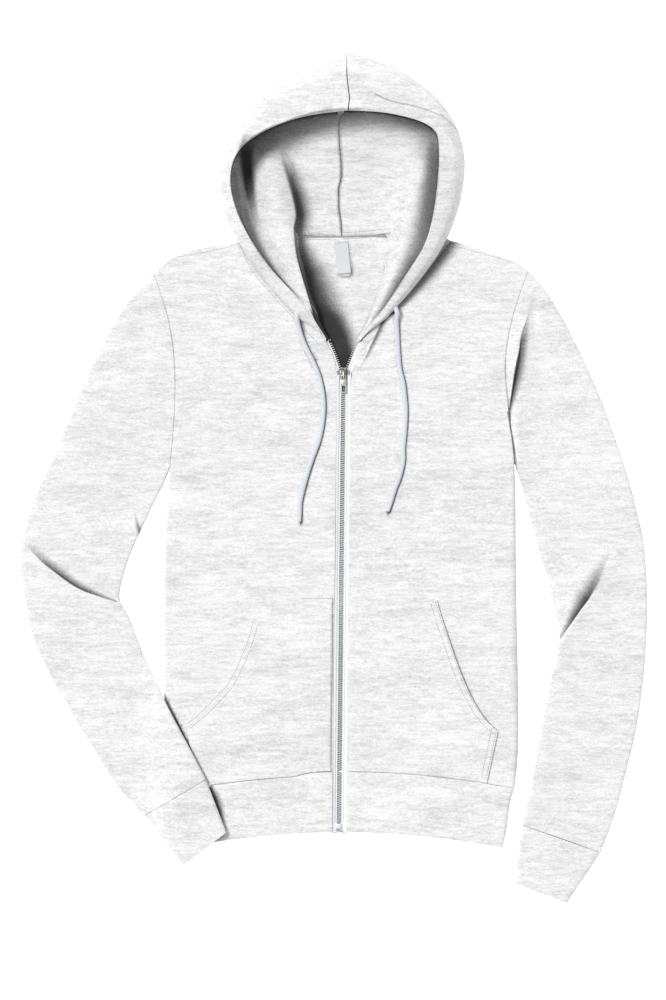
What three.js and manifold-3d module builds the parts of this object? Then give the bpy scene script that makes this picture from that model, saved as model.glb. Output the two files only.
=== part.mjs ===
// Zip up hoodie of heather fleece, laid flat on its back with the hood open upward.
// Units are millimetres. +Z is up, +Y runs from the hem to the hood, and +X is the
// wearer's left, which lies on the right when the garment is seen from above.
import * as THREE from 'three';
import { mergeVertices } from 'three/addons/utils/BufferGeometryUtils.js';
import Module from 'manifold-3d';

const wasm = await Module();
wasm.setup();

// Cloth walls and the clearance that neighbouring pieces keep.
const FLEECE = 2;
const RIB = 2.4;
const LABEL_WALL = 1;
const SEAM_GAP = 0.3;

// Heights of the flattened tubes, from the surface they lie on to their top face.
const BODY_HEIGHT = 8;
const SLEEVE_HEIGHT = 7.6;
const RIB_HEIGHT = 8.8;

// Stations across a rolled edge, as turns of the quarter circle.
const ROLL_TURNS = [0, 1 / 3, 2 / 3, 1];
const SHOULDER_ROLL = 0.009;

// Rows and columns of the cloth pieces' grids.
const FRONT_ROWS = 16;
const FRONT_COLUMNS = 7;
const BACK_COLUMNS = 9;
const SLEEVE_ROWS = 24;
const TUBE_ACROSS = 5;
const CUFF_ROWS = 3;
const HEM_ROWS = 3;
const HEM_FRONT_COLUMNS = 5;
const POCKET_ROWS = 9;
const POCKET_COLUMNS = 7;
const BOW_FADE = 0.35;

// Half the width of the zip's slot between the two fronts, and the slant of the zip:
// its offset in x at the hem and at the slider, fading out up the neckline.
const ZIP_EDGE = 8;
const ZIP_SLANT = { low: -3.6, high: 1.8, top: 538, fadeFrom: 570, fadeTo: 640 };

// The right forearm lies on the body here, and its underside rises by this much.
const OVERLAP = { low: -234, high: -207, lift: 12.2, fadeFrom: 235, fadeTo: 205 };

// Outline of the body, each side from the hem seam up to the shoulder.
const RIGHT_SIDE = [
  { x: -203, y: 51 }, { x: -208, y: 90 }, { x: -210, y: 170 }, { x: -210, y: 260 },
  { x: -209, y: 345 }, { x: -203, y: 428 }, { x: -198, y: 481 }, { x: -196, y: 545 },
  { x: -203, y: 603 }, { x: -222, y: 660 },
];
const LEFT_SIDE = [
  { x: 203.6, y: 51.4 }, { x: 208, y: 90 }, { x: 208, y: 170 }, { x: 206, y: 260 },
  { x: 205, y: 345 }, { x: 204, y: 431 }, { x: 196, y: 500 }, { x: 191, y: 551 },
  { x: 199, y: 603 }, { x: 219, y: 662 },
];
const ARMPIT_AT = 5 / 9;
const RIGHT_SHOULDER = [{ x: -222, y: 660 }, { x: -196, y: 682 }, { x: -160, y: 691 }, { x: -123, y: 698 }];
const LEFT_SHOULDER = [{ x: 219, y: 662 }, { x: 198, y: 676 }, { x: 160, y: 690 }, { x: 128, y: 698 }];

// Front edges, each from the hem seam along the zip and then up the neckline.
const RIGHT_FRONT_EDGE = [
  { x: -8, y: 70 }, { x: -8, y: 200 }, { x: -8, y: 330 }, { x: -8, y: 440 }, { x: -8, y: 530 },
  { x: -10.8, y: 557 }, { x: -17.5, y: 571 }, { x: -27, y: 580.4 }, { x: -45, y: 597 },
  { x: -73.4, y: 627.8 }, { x: -102.8, y: 663.3 }, { x: -123, y: 698 },
];
const LEFT_FRONT_EDGE = [
  { x: 8, y: 70 }, { x: 8, y: 200 }, { x: 8, y: 330 }, { x: 8, y: 440 }, { x: 8.4, y: 530 },
  { x: 12.5, y: 557 }, { x: 18.5, y: 570 }, { x: 28, y: 579.6 }, { x: 45.2, y: 596.8 },
  { x: 73.3, y: 627.8 }, { x: 104, y: 666 }, { x: 128, y: 698 },
];
const BACK_NECK = [{ x: -60, y: 701 }, { x: 0, y: 701 }, { x: 60, y: 703 }];

// Sleeve sections from the armhole to the cuff seam: the outer and the inner fold.
const RIGHT_SLEEVE = [
  { outerX: -256, outerY: 625, innerX: -209, innerY: 414 },
  { outerX: -287, outerY: 569, innerX: -215, innerY: 401 },
  { outerX: -313, outerY: 512, innerX: -222, innerY: 388 },
  { outerX: -336, outerY: 455, innerX: -231, innerY: 368 },
  { outerX: -356, outerY: 413, innerX: -241, innerY: 347 },
  { outerX: -372, outerY: 371, innerX: -252, innerY: 321 },
  { outerX: -380, outerY: 338, innerX: -261, innerY: 290 },
  { outerX: -380, outerY: 302, innerX: -262, innerY: 272 },
  { outerX: -371, outerY: 250, innerX: -255, innerY: 262 },
  { outerX: -360, outerY: 215, innerX: -249, innerY: 250 },
  { outerX: -339, outerY: 172, innerX: -236, innerY: 214 },
  { outerX: -314, outerY: 130, innerX: -220, innerY: 179 },
  { outerX: -288, outerY: 87, innerX: -202, innerY: 142 },
  { outerX: -260, outerY: 45, innerX: -181, innerY: 103 },
  { outerX: -234, outerY: 19, innerX: -160, innerY: 63 },
];
const LEFT_SLEEVE = [
  { outerX: 241, outerY: 640, innerX: 209, innerY: 418 },
  { outerX: 260, outerY: 608, innerX: 213, innerY: 404 },
  { outerX: 281, outerY: 567, innerX: 217, innerY: 390 },
  { outerX: 306, outerY: 512, innerX: 221, innerY: 374 },
  { outerX: 321, outerY: 470, innerX: 225, innerY: 354 },
  { outerX: 336, outerY: 427, innerX: 231, innerY: 334 },
  { outerX: 347, outerY: 385, innerX: 238, innerY: 311 },
  { outerX: 356, outerY: 347, innerX: 245, innerY: 286 },
  { outerX: 360, outerY: 303, innerX: 251, innerY: 257 },
  { outerX: 361, outerY: 258, innerX: 257, innerY: 231 },
  { outerX: 359, outerY: 211, innerX: 252, innerY: 208 },
  { outerX: 354, outerY: 160, innerX: 243, innerY: 172 },
  { outerX: 346, outerY: 111, innerX: 236, innerY: 135 },
  { outerX: 336, outerY: 73, innerX: 230, innerY: 94 },
  { outerX: 325, outerY: 27, innerX: 222, innerY: 52 },
  { outerX: 306, outerY: -24, innerX: 212, innerY: 9 },
];
const RIGHT_CUFF_END = { outerX: -188, outerY: -39, innerX: -136, innerY: 0 };
const LEFT_CUFF_END = { outerX: 266, outerY: -84, innerX: 202, innerY: -60 };

// Hem band rows from the seam down: the fold at each side and the height at the zip.
const HEM_BAND = [
  { rightX: -203, leftX: 204, sideY: 51, middleY: 71 },
  { rightX: -198, leftX: 198, sideY: 34, middleY: 48 },
  { rightX: -196, leftX: 196, sideY: 7, middleY: 24 },
  { rightX: -191, leftX: 190, sideY: -19, middleY: 0 },
];

// Soft folds in the cloth, each a line with its half width and its height.
const FRONT_FOLDS = [
  { x0: 176, y0: 612, x1: 186, y1: 440, width: 13, height: 1.6 },
  { x0: -190, y0: 470, x1: -140, y1: 360, width: 18, height: 1.5 },
  { x0: 120, y0: 400, x1: 150, y1: 330, width: 20, height: 1.2 },
];
const SLEEVE_FOLDS = [
  { x0: 212, y0: 640, x1: 206, y1: 470, width: 8, height: 5.5 },
  { x0: 262, y0: 236, x1: 318, y1: 322, width: 9, height: 5 },
  { x0: 268, y0: 215, x1: 345, y1: 232, width: 10, height: 3 },
  { x0: 300, y0: 520, x1: 262, y1: 420, width: 15, height: 1.8 },
  { x0: 300, y0: 90, x1: 255, y1: 130, width: 13, height: 1.6 },
  { x0: -364, y0: 318, x1: -275, y1: 262, width: 10, height: 5 },
  { x0: -247, y0: 383, x1: -232, y1: 352, width: 6, height: 2.5 },
  { x0: -300, y0: 530, x1: -240, y1: 430, width: 15, height: 1.8 },
  { x0: -250, y0: 60, x1: -215, y1: 110, width: 12, height: 1.4 },
];

// Hood sections, each from the brim edge out over the side, under, and in to the neck.
const CROWN = {
  brim: [7, 849, 63], outer: [5, 920, 28], foot: [5, 906, 0], hollow: [3, 880, 0],
  ridge: [0, 835, 0], lip: [-1, 785, 0], drop: [0, 745, 0], neck: [0, 703, 0],
};
const RIGHT_HOOD = [
  { brim: [-28, 599, 14], outer: [-32, 590, 10.5], foot: [-29, 588, 5.5], hollow: [-26, 590, 5],
    ridge: [-22, 593, 11], lip: [-18.5, 592, 12], drop: [-18, 590.5, 8], neck: [-20, 590, 5] },
  { brim: [-44, 622, 19], outer: [-54, 609, 11.2], foot: [-49, 607, 5], hollow: [-42, 610, 5],
    ridge: [-34, 614, 17], lip: [-26, 611, 17], drop: [-25.5, 609, 11], neck: [-29, 609, 6] },
  { brim: [-77, 656, 28], outer: [-90, 648, 11.5], foot: [-84, 643, 5], hollow: [-72, 641, 6],
    ridge: [-50, 640, 24], lip: [-36, 634, 22.5], drop: [-35.5, 632, 13], neck: [-40, 632, 6] },
  { brim: [-106, 695, 40], outer: [-117, 688, 12], foot: [-108, 682, 5], hollow: [-94, 678, 6],
    ridge: [-66, 675, 28], lip: [-44, 664, 26], drop: [-43, 662, 13], neck: [-48, 662, 5] },
  { brim: [-124, 730, 48], outer: [-141, 736, 20], foot: [-124, 731, 0], hollow: [-110, 726, 1.5],
    ridge: [-76, 712, 28], lip: [-54, 702, 26], drop: [-52, 700, 11], neck: [-53, 699, 3.5] },
  { brim: [-132, 768, 56], outer: [-148, 763, 24], foot: [-136, 760, 0], hollow: [-116, 758, 0],
    ridge: [-84, 752, 25], lip: [-60, 744, 21], drop: [-56, 738, 6], neck: [-46, 704, 2.6] },
  { brim: [-124, 800, 60], outer: [-138, 800, 27], foot: [-126, 797, 0], hollow: [-106, 793, 0],
    ridge: [-84, 786, 17], lip: [-66, 778, 13], drop: [-59, 770, 2.5], neck: [-32, 703, 0] },
  { brim: [-90, 826, 60], outer: [-112, 854, 28], foot: [-100, 846, 0], hollow: [-84, 833, 0],
    ridge: [-68, 812, 1], lip: [-56, 790, 1], drop: [-45, 765, 0], neck: [-21, 703, 0] },
  { brim: [-45, 842, 62], outer: [-62, 900, 28], foot: [-57, 888, 0], hollow: [-48, 865, 0],
    ridge: [-38, 828, 0], lip: [-29, 788, 0], drop: [-20, 750, 0], neck: [-11, 703, 0] },
  CROWN,
];
const LEFT_HOOD = [
  { brim: [31, 597, 15], outer: [34, 588, 10.5], foot: [30, 587, 5.5], hollow: [27, 588, 5],
    ridge: [25, 589, 5.5], lip: [24, 590, 6], drop: [23, 590, 5], neck: [22, 590, 4] },
  { brim: [51, 620, 22], outer: [58, 612, 11.2], foot: [53, 609, 5], hollow: [47, 610, 4],
    ridge: [42, 613, 7], lip: [38, 614, 7.5], drop: [36, 613, 5], neck: [35, 612, 3] },
  { brim: [74, 655, 31], outer: [91, 650, 11.8], foot: [84, 645, 4], hollow: [75, 647, 3],
    ridge: [61, 650, 13], lip: [54, 650, 12], drop: [49, 649, 6], neck: [47, 648, 2.8] },
  { brim: [97, 690, 40], outer: [119, 690, 12], foot: [110, 686, 5], hollow: [100, 689, 4],
    ridge: [80, 692, 17], lip: [70, 692, 15], drop: [61, 691, 7], neck: [57, 690, 2.8] },
  { brim: [107, 725, 48], outer: [137, 732, 20], foot: [122, 730, 0], hollow: [109, 728, 0.5],
    ridge: [86, 724, 18], lip: [73, 721, 14], drop: [61, 714, 6], neck: [52, 706, 2.6] },
  { brim: [112, 762, 55], outer: [144, 768, 24], foot: [130, 765, 0], hollow: [115, 762, 0],
    ridge: [90, 758, 18], lip: [74, 750, 12], drop: [58, 730, 3], neck: [42, 705, 0] },
  { brim: [114, 800, 60], outer: [144, 805, 27], foot: [130, 800, 0], hollow: [116, 796, 0],
    ridge: [93, 788, 14], lip: [72, 775, 7], drop: [50, 745, 1], neck: [30, 704.5, 0] },
  { brim: [109, 828, 62], outer: [124, 852, 29], foot: [113, 845, 0], hollow: [97, 833, 0],
    ridge: [78, 815, 3], lip: [58, 785, 1], drop: [39, 748, 0], neck: [20, 704, 0] },
  { brim: [55, 846, 62], outer: [68, 900, 28], foot: [62, 888, 0], hollow: [53, 865, 0],
    ridge: [41, 828, 0], lip: [30, 787, 0], drop: [20, 747, 0], neck: [10, 703.5, 0] },
  CROWN,
];
const HOOD_KNOTS = ['brim', 'outer', 'foot', 'hollow', 'ridge', 'lip', 'drop', 'neck'];
const HOOD_STEPS = [3, 3, 3, 3, 4, 2, 2, 3];
const HOOD_ROWS = 22;

// The brim rolls over at this share of the way out, and has sunk by this share there.
const BRIM_ROLL = { out: 0.72, sunk: 0.14 };

// Pocket edges: the side edge up to its corner, the curved mouth, and the straight zip side.
const RIGHT_POCKET = [
  { x: -171, y: 62 }, { x: -184, y: 128 }, { x: -166, y: 143 }, { x: -151, y: 158 },
  { x: -134.5, y: 177 }, { x: -121.5, y: 203 }, { x: -112, y: 227 }, { x: -107, y: 245 },
  { x: -104, y: 275 },
];
const LEFT_POCKET = [
  { x: 171, y: 62 }, { x: 184, y: 122 }, { x: 172, y: 132 }, { x: 158.5, y: 150 },
  { x: 143, y: 180.5 }, { x: 130, y: 217 }, { x: 119, y: 249 }, { x: 112, y: 274 },
];
const POCKET = {
  zipX: 10.5, low: 73, high: 277, gap: 0.4, rightRise: 0.8, leftRise: 3, sideRows: 2,
};

// Zip: closed below the slider, with the two chains spread to the neckline above it.
const CHAIN = { width: 2.2, height: 2.6, z: 5.1, low: 10 };
const TAPE = { width: 6.8, thickness: 1, reach: 0.3 };
const ZIP_TOP = [
  { x: 1.3, y: 538 }, { x: 3.1, y: 544 }, { x: 5.8, y: 553 }, { x: 11.5, y: 568 }, { x: 17, y: 580 },
];
const SLIDER = { y: 539, length: 13, width: 9.4, plate: 1, post: 1.2, postLength: 2 };
const BRIDGE = { length: 7, width: 1.6, leg: 1.1, height: 3 };
const PULL = {
  length: 21, width: 6.6, thickness: 1.1, pin: 1.1, windowWidth: 2.8, windowLength: 4,
  corner: 1.2, endSegments: 3, slotWidth: 4, slotFrom: 12.5, slotTo: 19.4,
};
const BOTTOM_STOP = { width: 7.6, length: 6.5, height: 3.8 };

// Draw cords: placed by hand from the casing to the bare tip.
const CORD_RADIUS = 2.7;
const CORD_QUARTER = 2;
const CORD_STEPS = 22;
const RIGHT_CORD = [
  { x: -53.4, y: 607.4, z: 16 }, { x: -52, y: 598, z: 13.2 }, { x: -47, y: 582, z: 11.2 },
  { x: -41, y: 568, z: 11 }, { x: -33, y: 552, z: 11 }, { x: -27, y: 536, z: 11 },
  { x: -23, y: 517, z: 11 }, { x: -22, y: 499, z: 11 }, { x: -24, y: 479, z: 11 },
  { x: -28, y: 461, z: 11 }, { x: -35, y: 442, z: 11 }, { x: -41, y: 424, z: 11 },
  { x: -47, y: 402, z: 11 }, { x: -50, y: 386, z: 11 }, { x: -50, y: 366, z: 11 },
];
const LEFT_CORD = [
  { x: 65, y: 613, z: 17.2 }, { x: 64, y: 603, z: 14 }, { x: 65, y: 588, z: 11.4 },
  { x: 66, y: 568, z: 11 }, { x: 68, y: 546, z: 11 }, { x: 72, y: 529, z: 11 },
  { x: 74, y: 512, z: 11 }, { x: 75, y: 496, z: 11 }, { x: 74, y: 474, z: 11 },
  { x: 72, y: 453, z: 11 }, { x: 72, y: 440, z: 11 }, { x: 70, y: 428, z: 11 },
  { x: 66, y: 415, z: 11 }, { x: 61, y: 402, z: 11 }, { x: 54, y: 378, z: 11 },
];

const LABEL = { x: 1, y: 678, width: 16, length: 38, turn: 0.09 };

// Middle of the laid garment, seen from above, which becomes the origin.
const MIDDLE = { x: -8, y: 418 };

const FINISHES = {
  fleece: { color: 0xebebed, roughness: 0.95, metalness: 0 },
  rib: { color: 0xe6e6ea, roughness: 0.95, metalness: 0 },
  tape: { color: 0xdfe3ec, roughness: 0.85, metalness: 0 },
  cord: { color: 0xdde3ee, roughness: 0.85, metalness: 0 },
  metal: { color: 0xa39c90, roughness: 0.35, metalness: 0.9 },
  label: { color: 0xf4f7fa, roughness: 0.8, metalness: 0 },
};

/** A smooth curve through points, as a function of 0 to 1 with a row at each even share. */
function smoothCurve(points) {
  const curve = new THREE.CatmullRomCurve3(points, false, 'centripetal');
  return (at) => curve.getPoint(THREE.MathUtils.clamp(at, 0, 1));
}

/** A plan curve through rows of x and y, at height 0. */
function planCurve(rows) {
  return smoothCurve(rows.map((row) => new THREE.Vector3(row.x, row.y, 0)));
}

/** Even shares from 0 to 1, both ends included. */
function shares(count) {
  return Array.from({ length: count + 1 }, (_, i) => i / count);
}

/** Height that soft folds add at a place. */
function foldHeight(folds, x, y) {
  let total = 0;
  for (const fold of folds) {
    const along = new THREE.Vector2(fold.x1 - fold.x0, fold.y1 - fold.y0);
    const away = new THREE.Vector2(x - fold.x0, y - fold.y0);
    const length = along.length();
    const share = away.dot(along) / length ** 2;
    const side = away.cross(along) / length;
    const past = Math.max(0, -share, share - 1) * length;
    total += fold.height * Math.exp(-((side / fold.width) ** 2) - (past / fold.width) ** 2);
  }
  return total;
}

/** Offset of the slanting zip from the plumb line at a height above the hem. */
function zipShift(y) {
  const slant = THREE.MathUtils.lerp(ZIP_SLANT.low, ZIP_SLANT.high, y / ZIP_SLANT.top);
  return slant * (1 - THREE.MathUtils.smoothstep(y, ZIP_SLANT.fadeFrom, ZIP_SLANT.fadeTo));
}

/** Rows of a plan line, moved with the zip. */
function withZip(rows) {
  return rows.map(({ x, y }) => ({ x: x + zipShift(y), y }));
}

/** Rise of the right forearm and cuff where they lie on the body. */
function overlapLift(x, y) {
  const across = x < 0 ? THREE.MathUtils.smoothstep(x, OVERLAP.low, OVERLAP.high) : 0;
  return OVERLAP.lift * across * (1 - THREE.MathUtils.smoothstep(y, OVERLAP.fadeTo, OVERLAP.fadeFrom));
}

/** A closed body from vertices and triangles, turned so that its faces point out. */
function closedBody(vertices, triangles) {
  let volume = 0;
  for (const [a, b, c] of triangles) {
    volume += vertices[a].dot(vertices[b].clone().cross(vertices[c]));
  }
  const geometry = new THREE.BufferGeometry();
  const numbers = vertices.flatMap((v) => v.toArray());
  geometry.setAttribute('position', new THREE.Float32BufferAttribute(numbers, 3));
  geometry.setIndex(triangles.flatMap(([a, b, c]) => (volume > 0 ? [a, b, c] : [a, c, b])));
  geometry.computeVertexNormals();
  return geometry;
}

/** Slope along a line of points: central inside, and three point at an open end. */
function slopeAt(pointAt, index, count, closed) {
  if (closed) {
    return pointAt((index + 1) % count).clone().sub(pointAt((index + count - 1) % count));
  }
  if (index > 0 && index < count - 1) {
    return pointAt(index + 1).clone().sub(pointAt(index - 1));
  }
  const step = index === 0 ? 1 : -1;
  const slope = pointAt(index + step).clone().multiplyScalar(4);
  slope.addScaledVector(pointAt(index), -3).sub(pointAt(index + 2 * step));
  return slope.multiplyScalar(step);
}

/** The unit normal at a grid point, from its neighbours. */
function gridNormal(grid, i, j, closed) {
  const down = slopeAt((row) => grid[row][j], i, grid.length, false);
  const across = slopeAt((column) => grid[i][column], j, grid[0].length, closed);
  return down.cross(across).normalize();
}

/** A cloth wall: the grid is its outer face, and its inner face lies a thickness inward. */
function clothWall(grid, thickness, inward, closed = false) {
  const rows = grid.length;
  const columns = grid[0].length;
  const inner = grid.map((row, i) => row.map((point, j) => (
    gridNormal(grid, i, j, closed).multiplyScalar(inward * thickness).add(point)
  )));
  const vertices = [...grid.flat(), ...inner.flat()];
  const under = rows * columns;
  const at = (i, j) => i * columns + (j % columns);
  const triangles = [];
  const quad = (a, b, c, d) => triangles.push([a, b, c], [a, c, d]);
  const spans = closed ? columns : columns - 1;
  for (let i = 0; i < rows - 1; i += 1) {
    for (let j = 0; j < spans; j += 1) {
      quad(at(i, j), at(i + 1, j), at(i + 1, j + 1), at(i, j + 1));
      quad(under + at(i, j), under + at(i, j + 1), under + at(i + 1, j + 1), under + at(i + 1, j));
    }
  }
  const low = rows - 1;
  for (let j = 0; j < spans; j += 1) {
    quad(at(0, j), at(0, j + 1), under + at(0, j + 1), under + at(0, j));
    quad(at(low, j + 1), at(low, j), under + at(low, j), under + at(low, j + 1));
  }
  const right = columns - 1;
  for (let i = 0; i < low && !closed; i += 1) {
    quad(at(i + 1, 0), at(i, 0), under + at(i, 0), under + at(i + 1, 0));
    quad(at(i, right), at(i + 1, right), under + at(i + 1, right), under + at(i, right));
  }
  return closedBody(vertices, triangles);
}

/** A solid through rings of the same count, with flat ends. */
function loft(rings) {
  const count = rings[0].length;
  const last = (rings.length - 1) * count;
  const triangles = [];
  for (let start = 0; start < last; start += count) {
    for (let j = 0; j < count; j += 1) {
      const k = (j + 1) % count;
      triangles.push([start + j, start + count + j, start + count + k]);
      triangles.push([start + j, start + count + k, start + k]);
    }
  }
  for (let j = 1; j < count - 1; j += 1) {
    triangles.push([0, j, j + 1], [last, last + j + 1, last + j]);
  }
  return closedBody(rings.flat(), triangles);
}

/** A geometry as a solid that can be joined and cut. */
function toSolid(geometry) {
  const bare = new THREE.BufferGeometry();
  bare.setAttribute('position', geometry.getAttribute('position'));
  bare.setIndex(geometry.index);
  const merged = mergeVertices(bare, 1e-4);
  const vertProperties = new Float32Array(merged.getAttribute('position').array);
  const triVerts = new Uint32Array(merged.index.array);
  return new wasm.Manifold(new wasm.Mesh({ numProp: 3, vertProperties, triVerts }));
}

/** A solid as a geometry. */
function toGeometry(solid) {
  const mesh = solid.getMesh();
  const geometry = new THREE.BufferGeometry();
  geometry.setAttribute('position', new THREE.Float32BufferAttribute(mesh.vertProperties, 3));
  geometry.setIndex(Array.from(mesh.triVerts));
  geometry.computeVertexNormals();
  return geometry;
}

/** One piece joined from boxes, each given by its middle and sizes. */
function joinedBlocks(blocks) {
  const solids = blocks.map(([x, y, z, width, length, height]) => (
    toSolid(new THREE.BoxGeometry(width, length, height).translate(x, y, z))
  ));
  return toGeometry(solids.reduce((whole, next) => whole.add(next)));
}

/** Insets and drops, as shares of the radius, of an edge that rolls a quarter turn. */
const ROLL = ROLL_TURNS.map((turn) => ({
  inset: 1 - Math.cos((turn * Math.PI) / 2),
  drop: 1 - Math.sin((turn * Math.PI) / 2),
}));

/** A point of the patch between four edges: a runs from side to side, b from low to high. */
function patchPoint({ from, to, low, high }, a, b) {
  const point = from(b).multiplyScalar(1 - a).addScaledVector(to(b), a);
  point.addScaledVector(low(a), 1 - b).addScaledVector(high(a), b);
  point.addScaledVector(from(0), -(1 - a) * (1 - b)).addScaledVector(to(0), -a * (1 - b));
  return point.addScaledVector(from(1), -(1 - a) * b).addScaledVector(to(1), -a * b);
}

/** The hem band's top seam, which bows up to the zip. */
function hemSeam(x) {
  const { rightX, leftX, sideY, middleY } = HEM_BAND[0];
  return middleY - (middleY - sideY) * (x / (x < 0 ? rightX : leftX)) ** 2;
}

/** A panel's lower edge along the hem seam, between two places. */
function panelHem(fromX, toX) {
  return (a) => {
    const x = THREE.MathUtils.lerp(fromX, toX, a);
    return new THREE.Vector3(x, hemSeam(x) + SEAM_GAP * 3, 0);
  };
}

/** How far a panel's side is rolled: wholly below the armpit, and flat along the armhole. */
function sideRoll(b) {
  return 1 - THREE.MathUtils.smoothstep(b, ARMPIT_AT - 0.05, ARMPIT_AT + 0.02);
}

/** Rows up a panel, the last ones close together where the shoulder rolls. */
function panelRows(count) {
  const rolled = ROLL.map(({ inset, drop }) => ({ b: 1 - inset * SHOULDER_ROLL, drop })).reverse();
  const plain = shares(count).slice(0, -1).map((share) => ({ b: share * (1 - SHOULDER_ROLL), drop: 0 }));
  return [...plain, ...rolled];
}

/** Top face of the fronts. */
function frontTop(x, y) {
  return BODY_HEIGHT + foldHeight(FRONT_FOLDS, x, y);
}

/** One front: rolled down along the side seam and the shoulder, open along zip and neck. */
function frontPanel(sideRows, edgeRows, shoulderRows) {
  const zipRows = withZip(edgeRows);
  const edges = { from: planCurve(sideRows), to: planCurve(zipRows), high: planCurve(shoulderRows) };
  edges.low = panelHem(sideRows[0].x, zipRows[0].x);
  const radius = BODY_HEIGHT / 2;
  const grid = panelRows(FRONT_ROWS).map(({ b, drop: shoulderDrop }) => {
    const turn = radius / edges.from(b).distanceTo(edges.to(b));
    const rolled = ROLL.map(({ inset, drop }) => ({ a: inset * turn, drop: drop * sideRoll(b) }));
    const plain = shares(FRONT_COLUMNS).slice(1).map((share) => ({ a: turn + share * (1 - turn), drop: 0 }));
    return [...rolled, ...plain].map(({ a, drop }) => {
      const point = patchPoint(edges, a, b);
      const seamZ = (BODY_HEIGHT + SEAM_GAP) / 2;
      point.z = THREE.MathUtils.lerp(frontTop(point.x, point.y), seamZ, Math.max(drop, shoulderDrop));
      return point;
    });
  });
  return clothWall(grid, FLEECE, Math.sign(edgeRows[0].x - sideRows[0].x));
}

/** The back: flat on the surface, and rolled up along the side seams and shoulders. */
function backPanel() {
  const top = [...RIGHT_SHOULDER, ...BACK_NECK, ...[...LEFT_SHOULDER].reverse()];
  const edges = { from: planCurve(RIGHT_SIDE), to: planCurve(LEFT_SIDE), high: planCurve(top) };
  edges.low = panelHem(RIGHT_SIDE[0].x, LEFT_SIDE[0].x);
  const radius = BODY_HEIGHT / 2;
  const neckFrom = (RIGHT_SHOULDER.length - 1) / (top.length - 1);
  const grid = panelRows(FRONT_ROWS).map(({ b, drop: shoulderDrop }) => {
    const turn = radius / edges.from(b).distanceTo(edges.to(b));
    const right = ROLL.map(({ inset, drop }) => ({ a: inset * turn, drop: drop * sideRoll(b) }));
    const left = right.map(({ a, drop }) => ({ a: 1 - a, drop })).reverse();
    const plain = shares(BACK_COLUMNS).slice(1, -1).map((share) => (
      { a: turn + share * (1 - 2 * turn), drop: 0 }
    ));
    return [...right, ...plain, ...left].map(({ a, drop }) => {
      const point = patchPoint(edges, a, b);
      const onShoulder = THREE.MathUtils.smoothstep(Math.abs(a - 0.5), 0.5 - neckFrom, 0.53 - neckFrom);
      const seamZ = (BODY_HEIGHT - SEAM_GAP) / 2;
      point.z = seamZ * Math.max(drop, shoulderDrop * onShoulder);
      return point;
    });
  });
  return clothWall(grid, FLEECE, -1);
}

/** Places around a flattened tube: across the top, round a fold, back below, round a fold. */
function tubeStations(width, height) {
  const radius = height / 2;
  const edge = radius / width;
  const acrossTop = shares(TUBE_ACROSS).map((share) => ({ w: edge + share * (1 - 2 * edge), level: 1 }));
  const fold = [0.25, 0.5, 0.75].map((turn) => ({
    w: 1 - edge + edge * Math.sin(turn * Math.PI),
    level: (1 + Math.cos(turn * Math.PI)) / 2,
  }));
  const firstHalf = [...acrossTop, ...fold];
  return [...firstHalf, ...firstHalf.map(({ w, level }) => ({ w: 1 - w, level: 1 - level }))];
}

/** One ring of a sleeve or cuff, from its two folds seen from above. */
function tubeRing(outer, inner, height, bulge) {
  return tubeStations(outer.distanceTo(inner), height).map(({ w, level }) => {
    const point = outer.clone().lerp(inner, w).add(bulge(w));
    point.z = level * (height + foldHeight(SLEEVE_FOLDS, point.x, point.y)) + overlapLift(point.x, point.y);
    return point;
  });
}

/** The outer or the inner corner of a sleeve section or a cuff end. */
function corner(row, name) {
  return new THREE.Vector3(row[`${name}X`], row[`${name}Y`], 0);
}

/** Both folds of a sleeve, as curves from the armhole to the cuff. */
function sleeveFolds(armhole, sections) {
  const fold = (start, name) => smoothCurve([start, ...sections.map((row) => corner(row, name))]);
  return { outer: fold(armhole(0), 'outer'), inner: fold(armhole(1), 'inner') };
}

/** The armhole's seam from the shoulder (0) to the armpit (1), moved out by the seam's gap. */
function armholeCurve(sideRows) {
  const side = planCurve(sideRows);
  const out = new THREE.Vector3(Math.sign(sideRows[0].x) * SEAM_GAP * 2.5, 0, 0);
  return (w) => side(1 - w * (1 - ARMPIT_AT)).add(out);
}

/** A sleeve: one flattened tube whose first ring follows the armhole. */
function sleeve(sideRows, sections) {
  const armhole = armholeCurve(sideRows);
  const { outer, inner } = sleeveFolds(armhole, sections);
  const bow = (w) => armhole(w).sub(armhole(0).lerp(armhole(1), w));
  const grid = shares(SLEEVE_ROWS).map((u) => {
    const share = Math.max(0, 1 - u / BOW_FADE) ** 2;
    return tubeRing(outer(u), inner(u), SLEEVE_HEIGHT, (w) => bow(w).multiplyScalar(share));
  });
  return clothWall(grid, FLEECE, Math.sign(sideRows[0].x), true);
}

/** A cuff: a straight rib tube that carries on from the sleeve's last ring. */
function cuff(sections, end) {
  const seam = sections[sections.length - 1];
  const gridRow = (v) => {
    const [outer, inner] = ['outer', 'inner'].map((name) => {
      const from = corner(seam, name);
      const to = corner(end, name);
      return from.clone().lerp(to, v + (1 - v) * ((SEAM_GAP * 3) / from.distanceTo(to)));
    });
    return tubeRing(outer, inner, RIB_HEIGHT, () => new THREE.Vector3());
  };
  return clothWall(shares(CUFF_ROWS).map(gridRow), RIB, Math.sign(end.outerX), true);
}

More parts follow.
